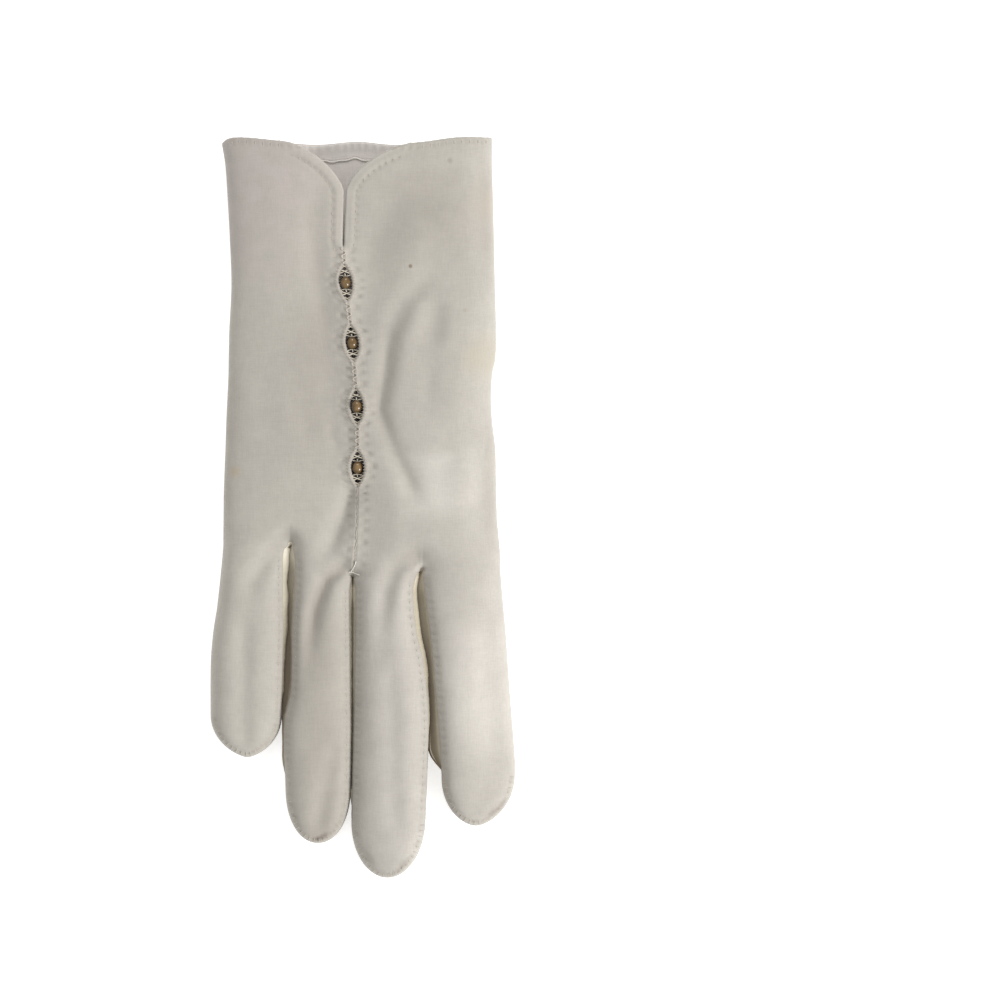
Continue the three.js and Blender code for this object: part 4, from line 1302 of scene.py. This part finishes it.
def pearl_material():
    """Golden pearl, unevenly worn, with painted shade that darkens it towards its sides."""
    material, tree, shader = new_material("golden_pearl")
    coordinates = node(tree, "ShaderNodeTexCoord").outputs
    upward = node(tree, "ShaderNodeSeparateXYZ", {0: coordinates["Normal"]}).outputs[2]
    tint = noise(tree, coordinates["Object"], 600.0, 3.0)
    worn = ranged(tree, tint, 0.35, 0.65)
    colours = mixed(tree, worn, (0.11, 0.064, 0.022, 1), (0.21, 0.13, 0.052, 1))
    # Painted shade: the sides, whose normals point away from up, darken to dark brown.
    colours = mixed(tree, ranged(tree, upward, 0.25, 0.95), (0.035, 0.018, 0.006, 1), colours)
    tree.links.new(colours, shader.inputs["Base Color"])
    tree.links.new(ranged(tree, tint, 0.3, 0.7, 0.16, 0.34), shader.inputs["Roughness"])
    set_values(shader, {"Specular IOR Level": 0.35, "Coat Weight": 0.35, "Coat Roughness": 0.12})
    return material


HAND_COTTON = cotton("hand_cotton", (0.417, 0.394, 0.348), (0.397, 0.372, 0.332), marks=MARKS)
# The strips' deep colour is the brown of the painted shade in the gaps between fingers.
STRIP_COTTON = cotton("strip_cotton", (0.52, 0.48, 0.38), (0.45, 0.4, 0.3), deep=(0.1, 0.065, 0.032))
THREAD_COTTON = cotton("thread_cotton", (0.46, 0.43, 0.37), (0.4, 0.37, 0.32), weave=0.2)
WHITE_THREAD = cotton("white_thread", (0.82, 0.8, 0.74), (0.74, 0.71, 0.64), weave=0.2)
OPEN_THREAD = cotton("open_thread", (0.62, 0.57, 0.47), (0.52, 0.47, 0.38), weave=0.2)
SEAM_THREAD = cotton("seam_thread", (0.5, 0.44, 0.38), (0.44, 0.4, 0.34), weave=0.2)
PEARL = pearl_material()


# Camera, floor and lights.
GLOVE_MIDDLE_PX = (362.7, 507.7)
PHOTO_PX = 1000
MM_PER_PX = 0.3
CAMERA_DISTANCE = 2.4
FIELD = PHOTO_PX * MM_PER_PX * MM
# Height of the glove's outline, where the picture's scale holds, and the floor's size and level.
OUTLINE_LEVEL = 0.006
FLOOR_HALF = 3.0
FLOOR_LEVEL = -0.00005


def make_camera():
    data = bpy.data.cameras.new("camera")
    data.lens = data.sensor_width * MM * (CAMERA_DISTANCE - OUTLINE_LEVEL) / FIELD / MM
    data.clip_end = 20
    made = bpy.data.objects.new("camera", data)
    made.location = (
        (PHOTO_PX / 2 - GLOVE_MIDDLE_PX[0]) * MM_PER_PX * MM,
        (GLOVE_MIDDLE_PX[1] - PHOTO_PX / 2) * MM_PER_PX * MM,
        CAMERA_DISTANCE,
    )
    bpy.context.scene.collection.objects.link(made)
    bpy.context.scene.camera = made


def area_light(name, place, size, power):
    data = bpy.data.lights.new(name, "AREA")
    data.shape = "DISK"
    data.size = size
    data.energy = power
    made = bpy.data.objects.new(name, data)
    made.location = place
    made.rotation_mode = "QUATERNION"
    made.rotation_quaternion = (-Vector(place)).to_track_quat("-Z", "Y")
    bpy.context.scene.collection.objects.link(made)


def make_stage():
    material, _, shader = new_material("floor_white")
    set_values(shader, {"Base Color": (0.93, 0.93, 0.93, 1), "Roughness": 0.9})
    set_values(shader, {"Emission Color": (1, 1, 1, 1), "Emission Strength": 0.52})
    mesh = bpy.data.meshes.new("floor")
    signs = ((-1, -1), (1, -1), (1, 1), (-1, 1))
    corners = [(i * FLOOR_HALF, j * FLOOR_HALF, FLOOR_LEVEL) for i, j in signs]
    mesh.from_pydata(corners, [], [(0, 1, 2, 3)])
    mesh.materials.append(material)
    floor = bpy.data.objects.new("floor", mesh)
    bpy.context.scene.collection.objects.link(floor)
    world = bpy.data.worlds.new("studio")
    world.use_nodes = True
    world.node_tree.nodes["Background"].inputs["Color"].default_value = (1, 1, 1, 1)
    world.node_tree.nodes["Background"].inputs["Strength"].default_value = 0.66
    bpy.context.scene.world = world
    area_light("key", (0.95, -0.5, 0.68), 0.4, 14)
    area_light("fill", (0.1, 1.1, 0.8), 0.6, 6)
    bpy.context.scene.view_settings.view_transform = "Standard"


make_camera()
make_stage()


# Simple closed pieces.
def tube(line, radius, sides=6):
    """Points and faces of a round thread along a line of points, closed at both ends."""
    line = np.asarray(line, float)
    tangents = np.gradient(line, axis=0)
    tangents /= np.linalg.norm(tangents, axis=1, keepdims=True)
    up = np.array([0.0, 0.0, 1.0])
    points, faces = [], []
    for p, t in zip(line, tangents):
        side = np.cross(t, up)
        if np.linalg.norm(side) < 0.05:
            side = np.cross(t, np.array([1.0, 0, 0]))
        side /= np.linalg.norm(side)
        over = np.cross(side, t)
        for i in range(sides):
            turn = 2 * math.pi * i / sides
            points.append(p + radius * (math.cos(turn) * side + math.sin(turn) * over))
    for r in range(len(line) - 1):
        for i in range(sides):
            j = (i + 1) % sides
            faces.append([r * sides + i, r * sides + j, (r + 1) * sides + j, (r + 1) * sides + i])
    faces.append(list(range(sides - 1, -1, -1)))
    last = (len(line) - 1) * sides
    faces.append([last + i for i in range(sides)])
    return np.array(points), faces


def joined(parts):
    points, faces, base = [], [], 0
    for some_points, some_faces in parts:
        points.append(some_points)
        faces += [[v + base for v in face] for face in some_faces]
        base += len(some_points)
    return np.concatenate(points), faces


class Surface:
    """The finished cloth, so that stitches can be laid on it."""

    def __init__(self, points, faces):
        self.tree = BVHTree.FromPolygons([Vector(p) for p in points.tolist()], faces)

    def at(self, x, y, back=True):
        start = Vector((float(x), float(y), 60 if back else -60))
        hit = self.tree.ray_cast(start, Vector((0, 0, -1 if back else 1)))
        if hit[0] is None:
            return None, None
        return np.array(hit[0]), np.array(hit[1])


DIRECTION_REACH = 1.0


def stitch(surface, x, y, direction, length, radius, back=True, sink=0.6):
    """One short stitch that lies half sunk in the cloth and dives at both ends."""
    ends = []
    for share in (-0.5, -0.3, 0, 0.3, 0.5):
        px, py = x + direction[0] * length * share, y + direction[1] * length * share
        point, normal = surface.at(px, py, back)
        if point is None:
            return None
        lift = radius * (1 - sink) - 0.9 * radius * (2 * abs(share)) ** 3
        place = point + normal * lift
        place[2] = max(place[2], radius)
        ends.append(place)
    return tube(ends, radius, 6)


def offset_points(line, inset, pitch):
    """Places at an even pitch beside a line, on its left, with the line's direction there."""
    line = np.asarray(line, float)
    walked = walked_lengths(line)
    places = []
    length = pitch
    while length < walked[-1]:
        before = places_at(length - DIRECTION_REACH, walked, line)
        after = places_at(length + DIRECTION_REACH, walked, line)
        ahead = (after - before) / np.linalg.norm(after - before)
        left = np.array([-ahead[1], ahead[0]])
        places.append((places_at(length, walked, line) + left * inset, ahead, left))
        length += pitch
    return places


# The forked strips between the fingers.
STRIP_WALL = 0.7
STRIP_SEWN_IN = 0.75
STRIP_STATION = 0.7
STRIP_ACROSS = 12
# How far each leg bulges into the gap past its finger's edge: at the fork's end, and at the tip's end.
STRIP_BULGES = {
    "fourchette_little_ring": ((1.6, 0.7), (0.3, 0.6)),
    "fourchette_ring_middle": ((0.6, 0.55), (0.6, 0.5)),
    "fourchette_middle_index": ((1.3, 0.0), (0.4, 0.9)),
}
# Painted shade that deepens each gap away from its fork.
STRIP_GAP_SHADE = {
    "fourchette_little_ring": 0.6,
    "fourchette_ring_middle": 0.15,
    "fourchette_middle_index": 0.3,
}
STRIP_MARGIN = 0.25
STRIP_RELEASE = 0.2
LEGS_APART = 0.3
FORK_FILL = -0.1
FORK_FLOOR = 0.09
LEG_SET_BACK = 0.5
LEG_REACHES_UNDER = 0.45
NO_NEIGHBOUR = 9


def strip_edge(k, gap, side, y):
    """The edge of finger k that faces a gap, with the round arch at the fork."""
    edge = finger_edges(FINGERS[k], y)[1 if side > 0 else 0]
    return edge + (fork_place(gap + 1)[0] - edge[0]) * fork_arch(fork_place(gap + 1)[1] - y)


def strip_leg(k, gap, bulges, side):
    """Stations down finger k's side: edge, way into the gap, level, half height, bulge above and below."""
    finger = FINGERS[k]
    top = fork_place(gap + 1)[1]
    bottom = -finger["length"] * finger["cap_from"]
    count = round((top - bottom) / STRIP_STATION)
    share = np.linspace(0, 1, count + 1)
    y = lerp(top, bottom, share)
    edge = strip_edge(k, gap, side, y)
    level = edge_level(edge, y)
    half = STRIP_HEIGHT / 2 * lerp(1, SLOT_NARROWS, share**3)
    half = half * np.sqrt(np.clip((1 - share) * SLOT_CLOSES, 0.02, 1)) + STRIP_MARGIN
    swell = smooth(top - y, 0, 1.5)
    narrows = smooth(y - bottom, 0, 9)
    uneven = 1 + 0.14 * ripple(y, 0 * y, 12, 40 + 2 * k + side)
    wanted = [lerp(*ends, smooth(share, 0.3, 0.75)) for ends in bulges]
    width = strip_edge(gap + 1, gap, -1, y) - strip_edge(gap, gap, 1, y)
    neighbour_ends = -min(FINGERS[i]["length"] * FINGERS[i]["cap_from"] for i in (gap, gap + 1))
    past = smooth(neighbour_ends - y, -1, 3)
    room = lerp(width, NO_NEIGHBOUR, past) - LEGS_APART
    fits = np.clip(room / (wanted[0] + wanted[1]), 0, 1)
    upper = (wanted[0] if side > 0 else wanted[1]) * fits * uneven
    upper = lerp(STRIP_RELEASE - STRIP_SEWN_IN, lerp(FORK_FILL, upper, swell), narrows)
    # Below, the second finger's leg reaches under the first finger and closes the gap between them.
    closed = np.full(y.shape, -LEG_SET_BACK) if side > 0 else width + LEG_REACHES_UNDER
    closed = lerp(FORK_FLOOR, closed, np.clip((top - y) / STRIP_STATION, 0, 1))
    lower = lerp(closed, upper, np.maximum(past, 1 - narrows))
    place = np.stack([edge, y], 1)
    into_gap = np.stack([np.full(y.shape, float(side)), 0 * y], 1)
    return place, into_gap, level, half, upper, lower


def strip(name, k):
    """Points, faces and shades of the strip between fingers k and k + 1."""
    fx, fy = fork_place(k + 1)
    bulges = STRIP_BULGES[name]
    first = [part[::-1] for part in strip_leg(k, k, bulges, 1)]
    last = strip_leg(k + 1, k, bulges, -1)
    turns = np.linspace(math.pi, 0, 11)[1:-1]
    ones = np.ones(turns.shape)
    round_fork = (
        np.stack([fx * ones, fy * ones], 1),
        -np.stack([np.cos(turns), np.sin(turns)], 1),
        edge_level(fx, fy) * ones,
        (STRIP_HEIGHT / 2 + STRIP_MARGIN) * ones,
        FORK_FILL * ones,
        FORK_FLOOR * ones,
    )
    stations = [np.concatenate(parts) for parts in zip(first, round_fork, last)]
    place, into_gap, level, half, upper, lower = stations
    along = walked_lengths(place - STRIP_WALL * into_gap)
    v = np.linspace(-1, 1, STRIP_ACROSS + 1)[None, :]
    pucker = 0.09 * np.sin(2 * math.pi * along[:, None] / STITCH_PITCH) * np.abs(v) ** 1.5 * (1 - v**6)
    wrinkle = 0.05 * ripple(along[:, None] + 0 * v, half[:, None] * v * 2, 6, 60 + k)
    outward = lerp(-STRIP_SEWN_IN, upper[:, None], 1 - np.abs(v - 0.15 * (1 - v**2)) ** 2.6)
    outward = outward + (lower - upper)[:, None] * bump_at(v, -0.4, 0.42) * (1 - v**8)
    outward = outward + (pucker + wrinkle) * (1 - v**4)
    xy = place[:, None] + into_gap[:, None] * outward[..., None]
    points = np.concatenate([xy, (level[:, None] + half[:, None] * v)[..., None]], -1)
    # Painted shade darkens the strip towards its lower edge, deep in the gap, and away from the fork;
    # painted light lightens it near the fork.
    gap_shade = STRIP_GAP_SHADE[name] * smooth(fy - place[:, 1], 8, 34)[:, None]
    painted_light = (1 - smooth(fy - place[:, 1], 0, 9))[:, None]
    shade = np.clip(0.45 - 0.75 * v + gap_shade - 0.9 * painted_light, -0.5 * painted_light, 0.75)
    return one_sheet(points, shade, STRIP_WALL)


# The folded thumb.
def thumb_form(inset, rows=72, columns=32):
    """Points and faces of the thumb's flat form, its outside or with an inset its hollow."""
    line = np.stack([plan_x(THUMB_LINE["across"]), plan_y(THUMB_LINE["at"])], 1)
    padded = np.concatenate([[2 * line[0] - line[1]], line, [2 * line[-1] - line[-2]]])
    fine = []
    for i in range(len(line) - 1):
        p0, p1, p2, p3 = padded[i : i + 4]
        t = np.linspace(0, 1, 40, endpoint=False)[:, None]
        square = 2 * p0 - 5 * p1 + 4 * p2 - p3
        cube = 3 * p1 - p0 - 3 * p2 + p3
        fine.append(0.5 * (2 * p1 + (p2 - p0) * t + square * t**2 + cube * t**3))
    fine = np.concatenate([*fine, line[-1:]])
    walked = walked_lengths(fine)
    length = walked[-1]
    overhang = THUMB_WIDTH / 2 - inset
    turns = np.linspace(0, math.pi, rows + 1)[1:-1]
    along = length / 2 - (length / 2 + overhang) * np.cos(turns)
    s = np.clip(along / length, 0, 1)
    past = along - s * length
    spot_at = places_at(s * length, walked, fine)
    ahead = places_at(s * length, walked, np.gradient(fine, walked, axis=0))
    ahead /= np.linalg.norm(ahead, axis=1, keepdims=True)
    wide = np.interp(s, np.linspace(0, 1, len(line)), THUMB_LINE["wide"])
    half = (THUMB_WIDTH * wide / 2 - inset) * rounded(past / overhang, 2)
    u = np.sin(np.linspace(-math.pi / 2, math.pi / 2, columns + 1))[None, :]
    x = spot_at[:, :1] + (ahead[:, 0] * past)[:, None] - ahead[:, 1:] * half[:, None] * u
    y = spot_at[:, 1:] + (ahead[:, 1] * past)[:, None] + ahead[:, :1] * half[:, None] * u
    fullness = rounded(u, HAND_ROUNDNESS) * rounded(past / overhang, HAND_ROUNDNESS)[:, None]
    level = THUMB_THICKNESS / 2
    up = level + (level - inset) * fullness
    down = np.maximum(level - (level - inset) * np.minimum(1, fullness * UNDERSIDE_FLATNESS), inset)
    ring = np.concatenate([np.stack([x, y, up], -1), np.stack([x, y, down], -1)[:, -2:0:-1]], 1)
    count = ring.shape[1]
    points = ring.reshape(-1, 3)
    faces = []
    for i in range(len(ring) - 1):
        for j in range(count):
            k = (j + 1) % count
            faces.append([i * count + j, (i + 1) * count + j, (i + 1) * count + k, i * count + k])
    ends = []
    for i, way in ((0, -1), (-1, 1)):
        out = abs(past[i])
        ends.append([*(spot_at[i] + way * ahead[i] * (out + 0.4 * (overhang - out))), level])
        tip = len(points) + len(ends) - 1
        base = 0 if i == 0 else (len(ring) - 1) * count
        for j in range(count):
            k = (j + 1) % count
            faces.append([base + j, base + k, tip] if i == 0 else [base + k, base + j, tip])
    return np.concatenate([points, ends]), faces


def hole_form(low, high, sides=48):
    """Points and faces of the oval plug that cuts the hole between palm and thumb."""
    turns = np.linspace(0, 2 * math.pi, sides, endpoint=False)
    x = plan_x(THUMB_HOLE[0]) + THUMB_HOLE_WIDTH / 2 * np.cos(turns)
    y = plan_y(THUMB_HOLE[1]) + THUMB_HOLE_LENGTH / 2 * np.sin(turns)
    ring = np.stack([x, y], 1)
    points = np.concatenate([np.column_stack([ring, np.full(sides, z)]) for z in (low, high)])
    faces = [[i, (i + 1) % sides, sides + (i + 1) % sides, sides + i] for i in range(sides)]
    faces.append(list(range(sides - 1, -1, -1)))
    faces.append(list(range(sides, 2 * sides)))
    return points, faces


def cut_away(piece, *forms):
    """The piece less some closed forms."""
    for points, faces in forms:
        tool = make_object(piece.name + "_tool", points, faces, piece.data.materials[0])
        modifier = piece.modifiers.new("cut", "BOOLEAN")
        modifier.operation = "DIFFERENCE"
        modifier.solver = "MANIFOLD"
        modifier.object = tool
        view = bpy.context.evaluated_depsgraph_get()
        cut = bpy.data.meshes.new_from_object(piece.evaluated_get(view), depsgraph=view)
        piece.modifiers.clear()
        old = piece.data
        piece.data = cut
        bpy.data.meshes.remove(old)
        tool_mesh = tool.data
        bpy.data.objects.remove(tool)
        bpy.data.meshes.remove(tool_mesh)


# Beads.
def bead_form(sides=40, steps=26):
    """An oval bead drilled from end to end, its hole's rims rounded."""
    last_turn = math.acos(BEAD_HOLE / BEAD_WIDTH)
    turns = np.linspace(-last_turn, last_turn, steps + 1)
    out = np.cos(turns) * BEAD_WIDTH / 2
    along = np.sin(turns) * BEAD_LENGTH / 2
    inside = along[-1] - 0.15
    hole = BEAD_HOLE / 2
    out = np.concatenate([out, [hole - 0.05, hole - 0.08, hole - 0.08, hole - 0.05]])
    along = np.concatenate([along, [along[-1] - 0.05, inside, -inside, -along[-1] + 0.05]])
    spin = np.linspace(0, 2 * math.pi, sides, endpoint=False)
    points = np.stack(
        [
            out[None, :] * np.cos(spin)[:, None],
            along[None, :] + 0 * spin[:, None],
            out[None, :] * np.sin(spin)[:, None],
        ],
        -1,
    ).reshape(-1, 3)
    count = len(out)
    faces = []
    for i in range(sides):
        a, b = i * count, ((i + 1) % sides) * count
        for j in range(count):
            k = (j + 1) % count
            faces.append([a + j, a + k, b + k, b + j])
    return points, faces


def bead_middle(name):
    low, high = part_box(name)
    return (np.array((low + high) / 2) - OFFSET) / MM


# The hem turned in at the cuff, as it shows through the notch.
FACING_WALL = 0.5
FACING_FROM = -0.88
FACING_TO = 0.84
FACING_ROWS = 14
FACING_STEP = 0.3
# Painted light that lightens the whole facing in its shaded notch.
FACING_PAINTED_LIGHT = -0.65
FACING_CORD_RADIUS = 0.26
FACING_CORD_OFF = (0, -0.25, -0.12)


def hem_facing():
    """Points, faces and shades of the palm's turned-in hem, with its puckers."""
    x = np.arange(plan_x(FACING_FROM), plan_x(FACING_TO), FACING_STEP)[None, :]
    t = np.linspace(0, 1, FACING_ROWS + 1)[:, None]
    top = cuff_y(x) + RIM - 0.5
    wave = 0.25 * np.sin(2 * math.pi * x / 9.3) + 0.2 * np.sin(2 * math.pi * x / 4.7 + 1)
    y = top - t * (HEM_DEPTH - 0.6 + wave)
    fullness = body_fullness(x, y, 0, np.array(0.0))
    base = palm_height(x, y, fullness, hand_thickness(y)) + WALL
    wander = 1.3 * np.sin(2 * math.pi * x / 17 + 0.6)
    ridges = 0.5 + 0.5 * np.sin(2 * math.pi * x / STITCH_PITCH + wander)
    pucker = 0.2 * ridges * bump_at(t, 0.2, 0.25) + 0.08 * bump_at(t, 0.92, 0.08)
    z = base + FACING_WALL + 0.02 + pucker - (FACING_WALL + 0.1) * smooth(t, 0.88, 1)
    # Painted shade between the puckers and in a line above the lower edge, and a painted light line along
    # that edge.
    shade = FACING_PAINTED_LIGHT + 0.2 * (1 - ridges) * bump_at(t, 0.25, 0.3)
    shade = shade - 0.3 * bump_at(t, 0.9, 0.06) + 0.05 * bump_at(t, 0.76, 0.06)
    points = np.stack([x + 0 * y, y, z], -1)
    return points, *one_sheet(points, shade + 0 * y, FACING_WALL)


def facing_cord(grid):
    """The thread along the lower edge of the turned-in hem. Its white is the thread's own colour and also a
    painted highlight, the light that this edge catches, laid over the shade below the edge.
    """
    return [tube(grid[-2] + np.array(FACING_CORD_OFF), FACING_CORD_RADIUS, 8)]


# Stitches.
def along_edge(
    surface, line, inset, length, back=True, across=False, radius=THREAD_RADIUS, pitch=STITCH_PITCH
):
    """A row of stitches beside an edge."""
    made = []
    for place, ahead, left in offset_points(line, inset, pitch):
        one = stitch(surface, place[0], place[1], left if across else ahead, length, radius, back)
        if one is not None:
            made.append(one)
    return made


def cuff_line(low, high, steps=60):
    x = np.linspace(plan_x(low), plan_x(high), steps)
    return np.stack([x, cuff_y(x)], 1)


# Stretches of the cuff that are stitched, from one place across to another, and whether on the back.
HEM_STRETCHES = [
    (-1.0, FLAPS["left"]["from"] - 0.03, True),
    (FLAPS["right"]["from"] + 0.03, 0.94, True),
    (-0.98, 0.92, False),
]


def hem_stitches(surface):
    parts = []
    for low, high, back in HEM_STRETCHES:
        parts += along_edge(surface, cuff_line(low, high), -HEM_STITCH_IN, HEM_STITCH_LENGTH, back, True)
    for side, sign in (("left", -1), ("right", 1)):
        edge = slit_edge(side)[2:]
        inset = sign * FLAP_STITCH_IN
        parts += along_edge(surface, edge, inset, SIDE_STITCH_LENGTH, radius=FLAP_STITCH_RADIUS)
    return parts


def finger_stitches(surface):
    parts = []
    length, radius = SIDE_STITCH_LENGTH, FINGER_STITCH_RADIUS
    for k, finger in enumerate(FINGERS):
        for side in (-1, 1):
            if (k, side) in ((0, -1), (3, 1)):
                continue
            top = fork_place(k if side < 0 else k + 1)[1]
            ys = np.linspace(top - 2.5, -finger["length"] * (finger["cap_from"] - 0.02), 50)
            line = np.stack([finger_edges(finger, ys)[0 if side < 0 else 1], ys], 1)
            for inset, back in ((FINGER_STITCH_IN, True), (FINGER_STITCH_IN * 1.3, False)):
                parts += along_edge(surface, line, -side * inset, length, back, radius=radius)
    return parts


def tip_stitches(surface):
    parts = []
    radius, pitch = TIP_STITCH_RADIUS, TIP_STITCH_PITCH
    for k, finger in enumerate(FINGERS):
        outline = finger_outline(k)
        tip = outline[outline[:, 1] < -finger["length"] * (finger["cap_from"] - 0.01)]
        inset = TIP_STITCH_IN * 0.6
        parts += along_edge(surface, tip, inset, TIP_STITCH_LENGTH, True, True, radius, pitch)
    return parts


# The open threads: where each crossing pair starts and ends up the seam from the bead's middle, and how
# far past the lip and under the cloth a thread is held.
CROSSINGS = [(5.4, 4.0), (4.1, 2.4), (-2.3, -3.9), (-3.8, -5.3)]
HELD_PAST = 0.55
HELD_UNDER = 0.28
CROSSING_RADIUS = 0.17
HANGER_RADIUS = 0.16
TIE_RADIUS = 0.12


def opening_threads(surface, name):
    """White threads that cross an opening from lip to lip, and the one through the bead."""
    at = plan_y(BEAD_PLACES[name])
    x, _, level = bead_middle(name)
    parts = []

    def lip(y, sign):
        point, _ = surface.at(seam_x(y) + sign * (lip_offset(y) + HELD_PAST), y)
        return point - np.array([0, 0, HELD_UNDER])

    for high, low in CROSSINGS:
        for sign in (-1, 1):
            start, end = lip(at + high, sign), lip(at + low, -sign)
            sag = 0.35 + 0.12 * sign
            shares = np.linspace(0, 1, 9)
            line = [lerp(start, end, s) - np.array([0, 0, sag * math.sin(math.pi * s)]) for s in shares]
            parts.append(tube(line, CROSSING_RADIUS))
    hanger = [
        (seam_x(at + 2.6), at + 2.75, level + 0.05),
        (x, at + 1.7, level),
        (x, at, level - 0.05),
        (x, at - 1.7, level),
        (seam_x(at - 2.6), at - 2.8, level + 0.05),
    ]
    parts.append(tube(hanger, HANGER_RADIUS))
    for sign in (-1, 1):
        for way in (1, -1):
            start = lip(at + way * 2.5, sign)
            end = np.array([x, at + way * 1.85, level])
            parts.append(tube([lerp(start, end, s) for s in np.linspace(0, 1, 5)], TIE_RADIUS))
    return parts


LIP_STITCH_PITCH = 0.95
LIP_STITCH_RADIUS = 0.11
# How a stitch turns round the rim: out from the lip, up the seam, and down from the cloth beside it.
RIM_TURN = [(-0.1, 0, 0.05), (-0.5, -0.05, 0.45), (-0.3, -0.1, 0.85), (0.2, -0.12, 1.0)]


def lip_stitches(surface, name):
    """Small stitches wrapped over the rims of one opening."""
    at = plan_y(BEAD_PLACES[name])
    raised = np.array([0, 0, 0.1])
    parts = []
    for y in np.arange(at - OPENING_END + 0.5, at + OPENING_END - 0.3, LIP_STITCH_PITCH):
        for sign in (-1, 1):
            x = seam_x(y) + sign * lip_offset(y)
            outer, _ = surface.at(x + sign * 1.0, y + 0.25)
            nearer, _ = surface.at(x + sign * 0.35, y + 0.12)
            line = [outer - raised, lerp(outer, nearer, 0.5) + raised, nearer + raised]
            line += [(x + sign * out, y + along, nearer[2] - down) for out, along, down in RIM_TURN]
            parts.append(tube(line, LIP_STITCH_RADIUS, 5))
    return parts


# The cord of the seam's closed stretches: swing and radius of its zigzag in a long and in a short one.
CORD_PITCH = 2.3
CORD_STEP = 0.16
CORD_SHORTEST = 1.5
CORD_LONG_FROM = 15
CORD_LONG = (0.08, 0.12)
CORD_SHORT = (0.6, 0.2)


def seam_cord(surface):
    """The zigzag thread along the closed stretches of the seam."""
    stops = [plan_y(SLIT_FOOT_AT)]
    for share in BEAD_PLACES.values():
        stops += [plan_y(share) + OPENING_END, plan_y(share) - OPENING_END]
    stops.append(fork_place(2)[1] + 1.2)
    parts = []
    for high, low in zip(stops[::2], stops[1::2]):
        if high - low < CORD_SHORTEST:
            continue
        swing, radius = CORD_LONG if high - low > CORD_LONG_FROM else CORD_SHORT
        y = np.arange(low + 0.1, high - 0.1, CORD_STEP)
        phase = 2 * math.pi * y / CORD_PITCH
        x = seam_x(y) + swing * np.clip(1.4 * np.sin(phase), -1, 1)
        line = []
        for px, py, wave in zip(x, y, np.cos(phase)):
            point, _ = surface.at(px, py)
            line.append(point + np.array([0, 0, 0.12 + 0.04 * wave]))
        parts.append(tube(line, radius))
    return parts


# Loose ends of thread at the middle fork, as points across and along in millimetres.
LOOSE_ENDS = [
    [(-1.5, 4.7), (-1.9, 3.4), (-2.6, 2.2), (-3.1, 1.6)],
    [(-3.7, 1.5), (-2.6, 1.45), (-1.6, 1.0), (-0.5, 0.6)],
]


LOOSE_RADIUS = 0.15


def loose_ends(surface):
    """The loose ends, laid on the cloth."""
    parts = []
    for ends in LOOSE_ENDS:
        ends = np.array(ends, float)
        t = np.linspace(0, len(ends) - 1, 13)
        xy = places_at(t, range(len(ends)), ends)
        xy[1:-1] = (xy[:-2] + 2 * xy[1:-1] + xy[2:]) / 4
        line = []
        level = None
        for px, py in xy:
            point, _ = surface.at(px, py)
            if point is not None and point[2] > THICKNESS / 2:
                level = point[2]
            line.append((px, py, level + LOOSE_RADIUS))
        parts.append(tube(line, LOOSE_RADIUS))
    return parts


hand_points, hand_faces, hand_shades = hand_cloth()
hand = dress(make_object("hand_cloth", hand_points, hand_faces, HAND_COTTON, hand_shades), "cotton", "hand")
surface = Surface(hand_points, hand_faces)
thumb_hole = hole_form(THUMB_THICKNESS / 2, LIFT + THICKNESS / 2)
cut_away(hand, thumb_hole)

thumb_points, thumb_faces = thumb_form(0)
thumb = dress(make_object("thumb_cloth", thumb_points, thumb_faces, HAND_COTTON), "cotton", "thumb")
cut_away(thumb, thumb_form(WALL), thumb_hole)

for k, name in enumerate(STRIP_BULGES):
    points, faces, shades = strip(name, k)
    dress(make_object(name + "_cloth", points, faces, STRIP_COTTON, shades), "fourchette_cotton", name)

for name in BEAD_PLACES:
    points, faces = bead_form()
    dress(make_object(name + "_pearl", points + bead_middle(name), faces, PEARL), "pearl_bead", name)

facing_grid, facing_points, facing_faces, facing_shades = hem_facing()
dress(make_object("hem_facing", facing_points, facing_faces, HAND_COTTON, facing_shades), "cotton")

THREADS = {
    "hem_stitches": (hem_stitches(surface), THREAD_COTTON),
    "finger_stitches": (finger_stitches(surface), THREAD_COTTON),
    "tip_stitches": (tip_stitches(surface), THREAD_COTTON),
    "seam_cord": (seam_cord(surface), SEAM_THREAD),
    "loose_ends": (loose_ends(surface), WHITE_THREAD),
    "facing_cord": (facing_cord(facing_grid), WHITE_THREAD),
}
for name in BEAD_PLACES:
    THREADS[name.replace("bead", "threads")] = (opening_threads(surface, name), OPEN_THREAD)
    THREADS[name.replace("bead", "lips")] = (lip_stitches(surface, name), SEAM_THREAD)
for name, (parts, material) in THREADS.items():
    dress(make_object(name, *joined(parts), material), "cotton")
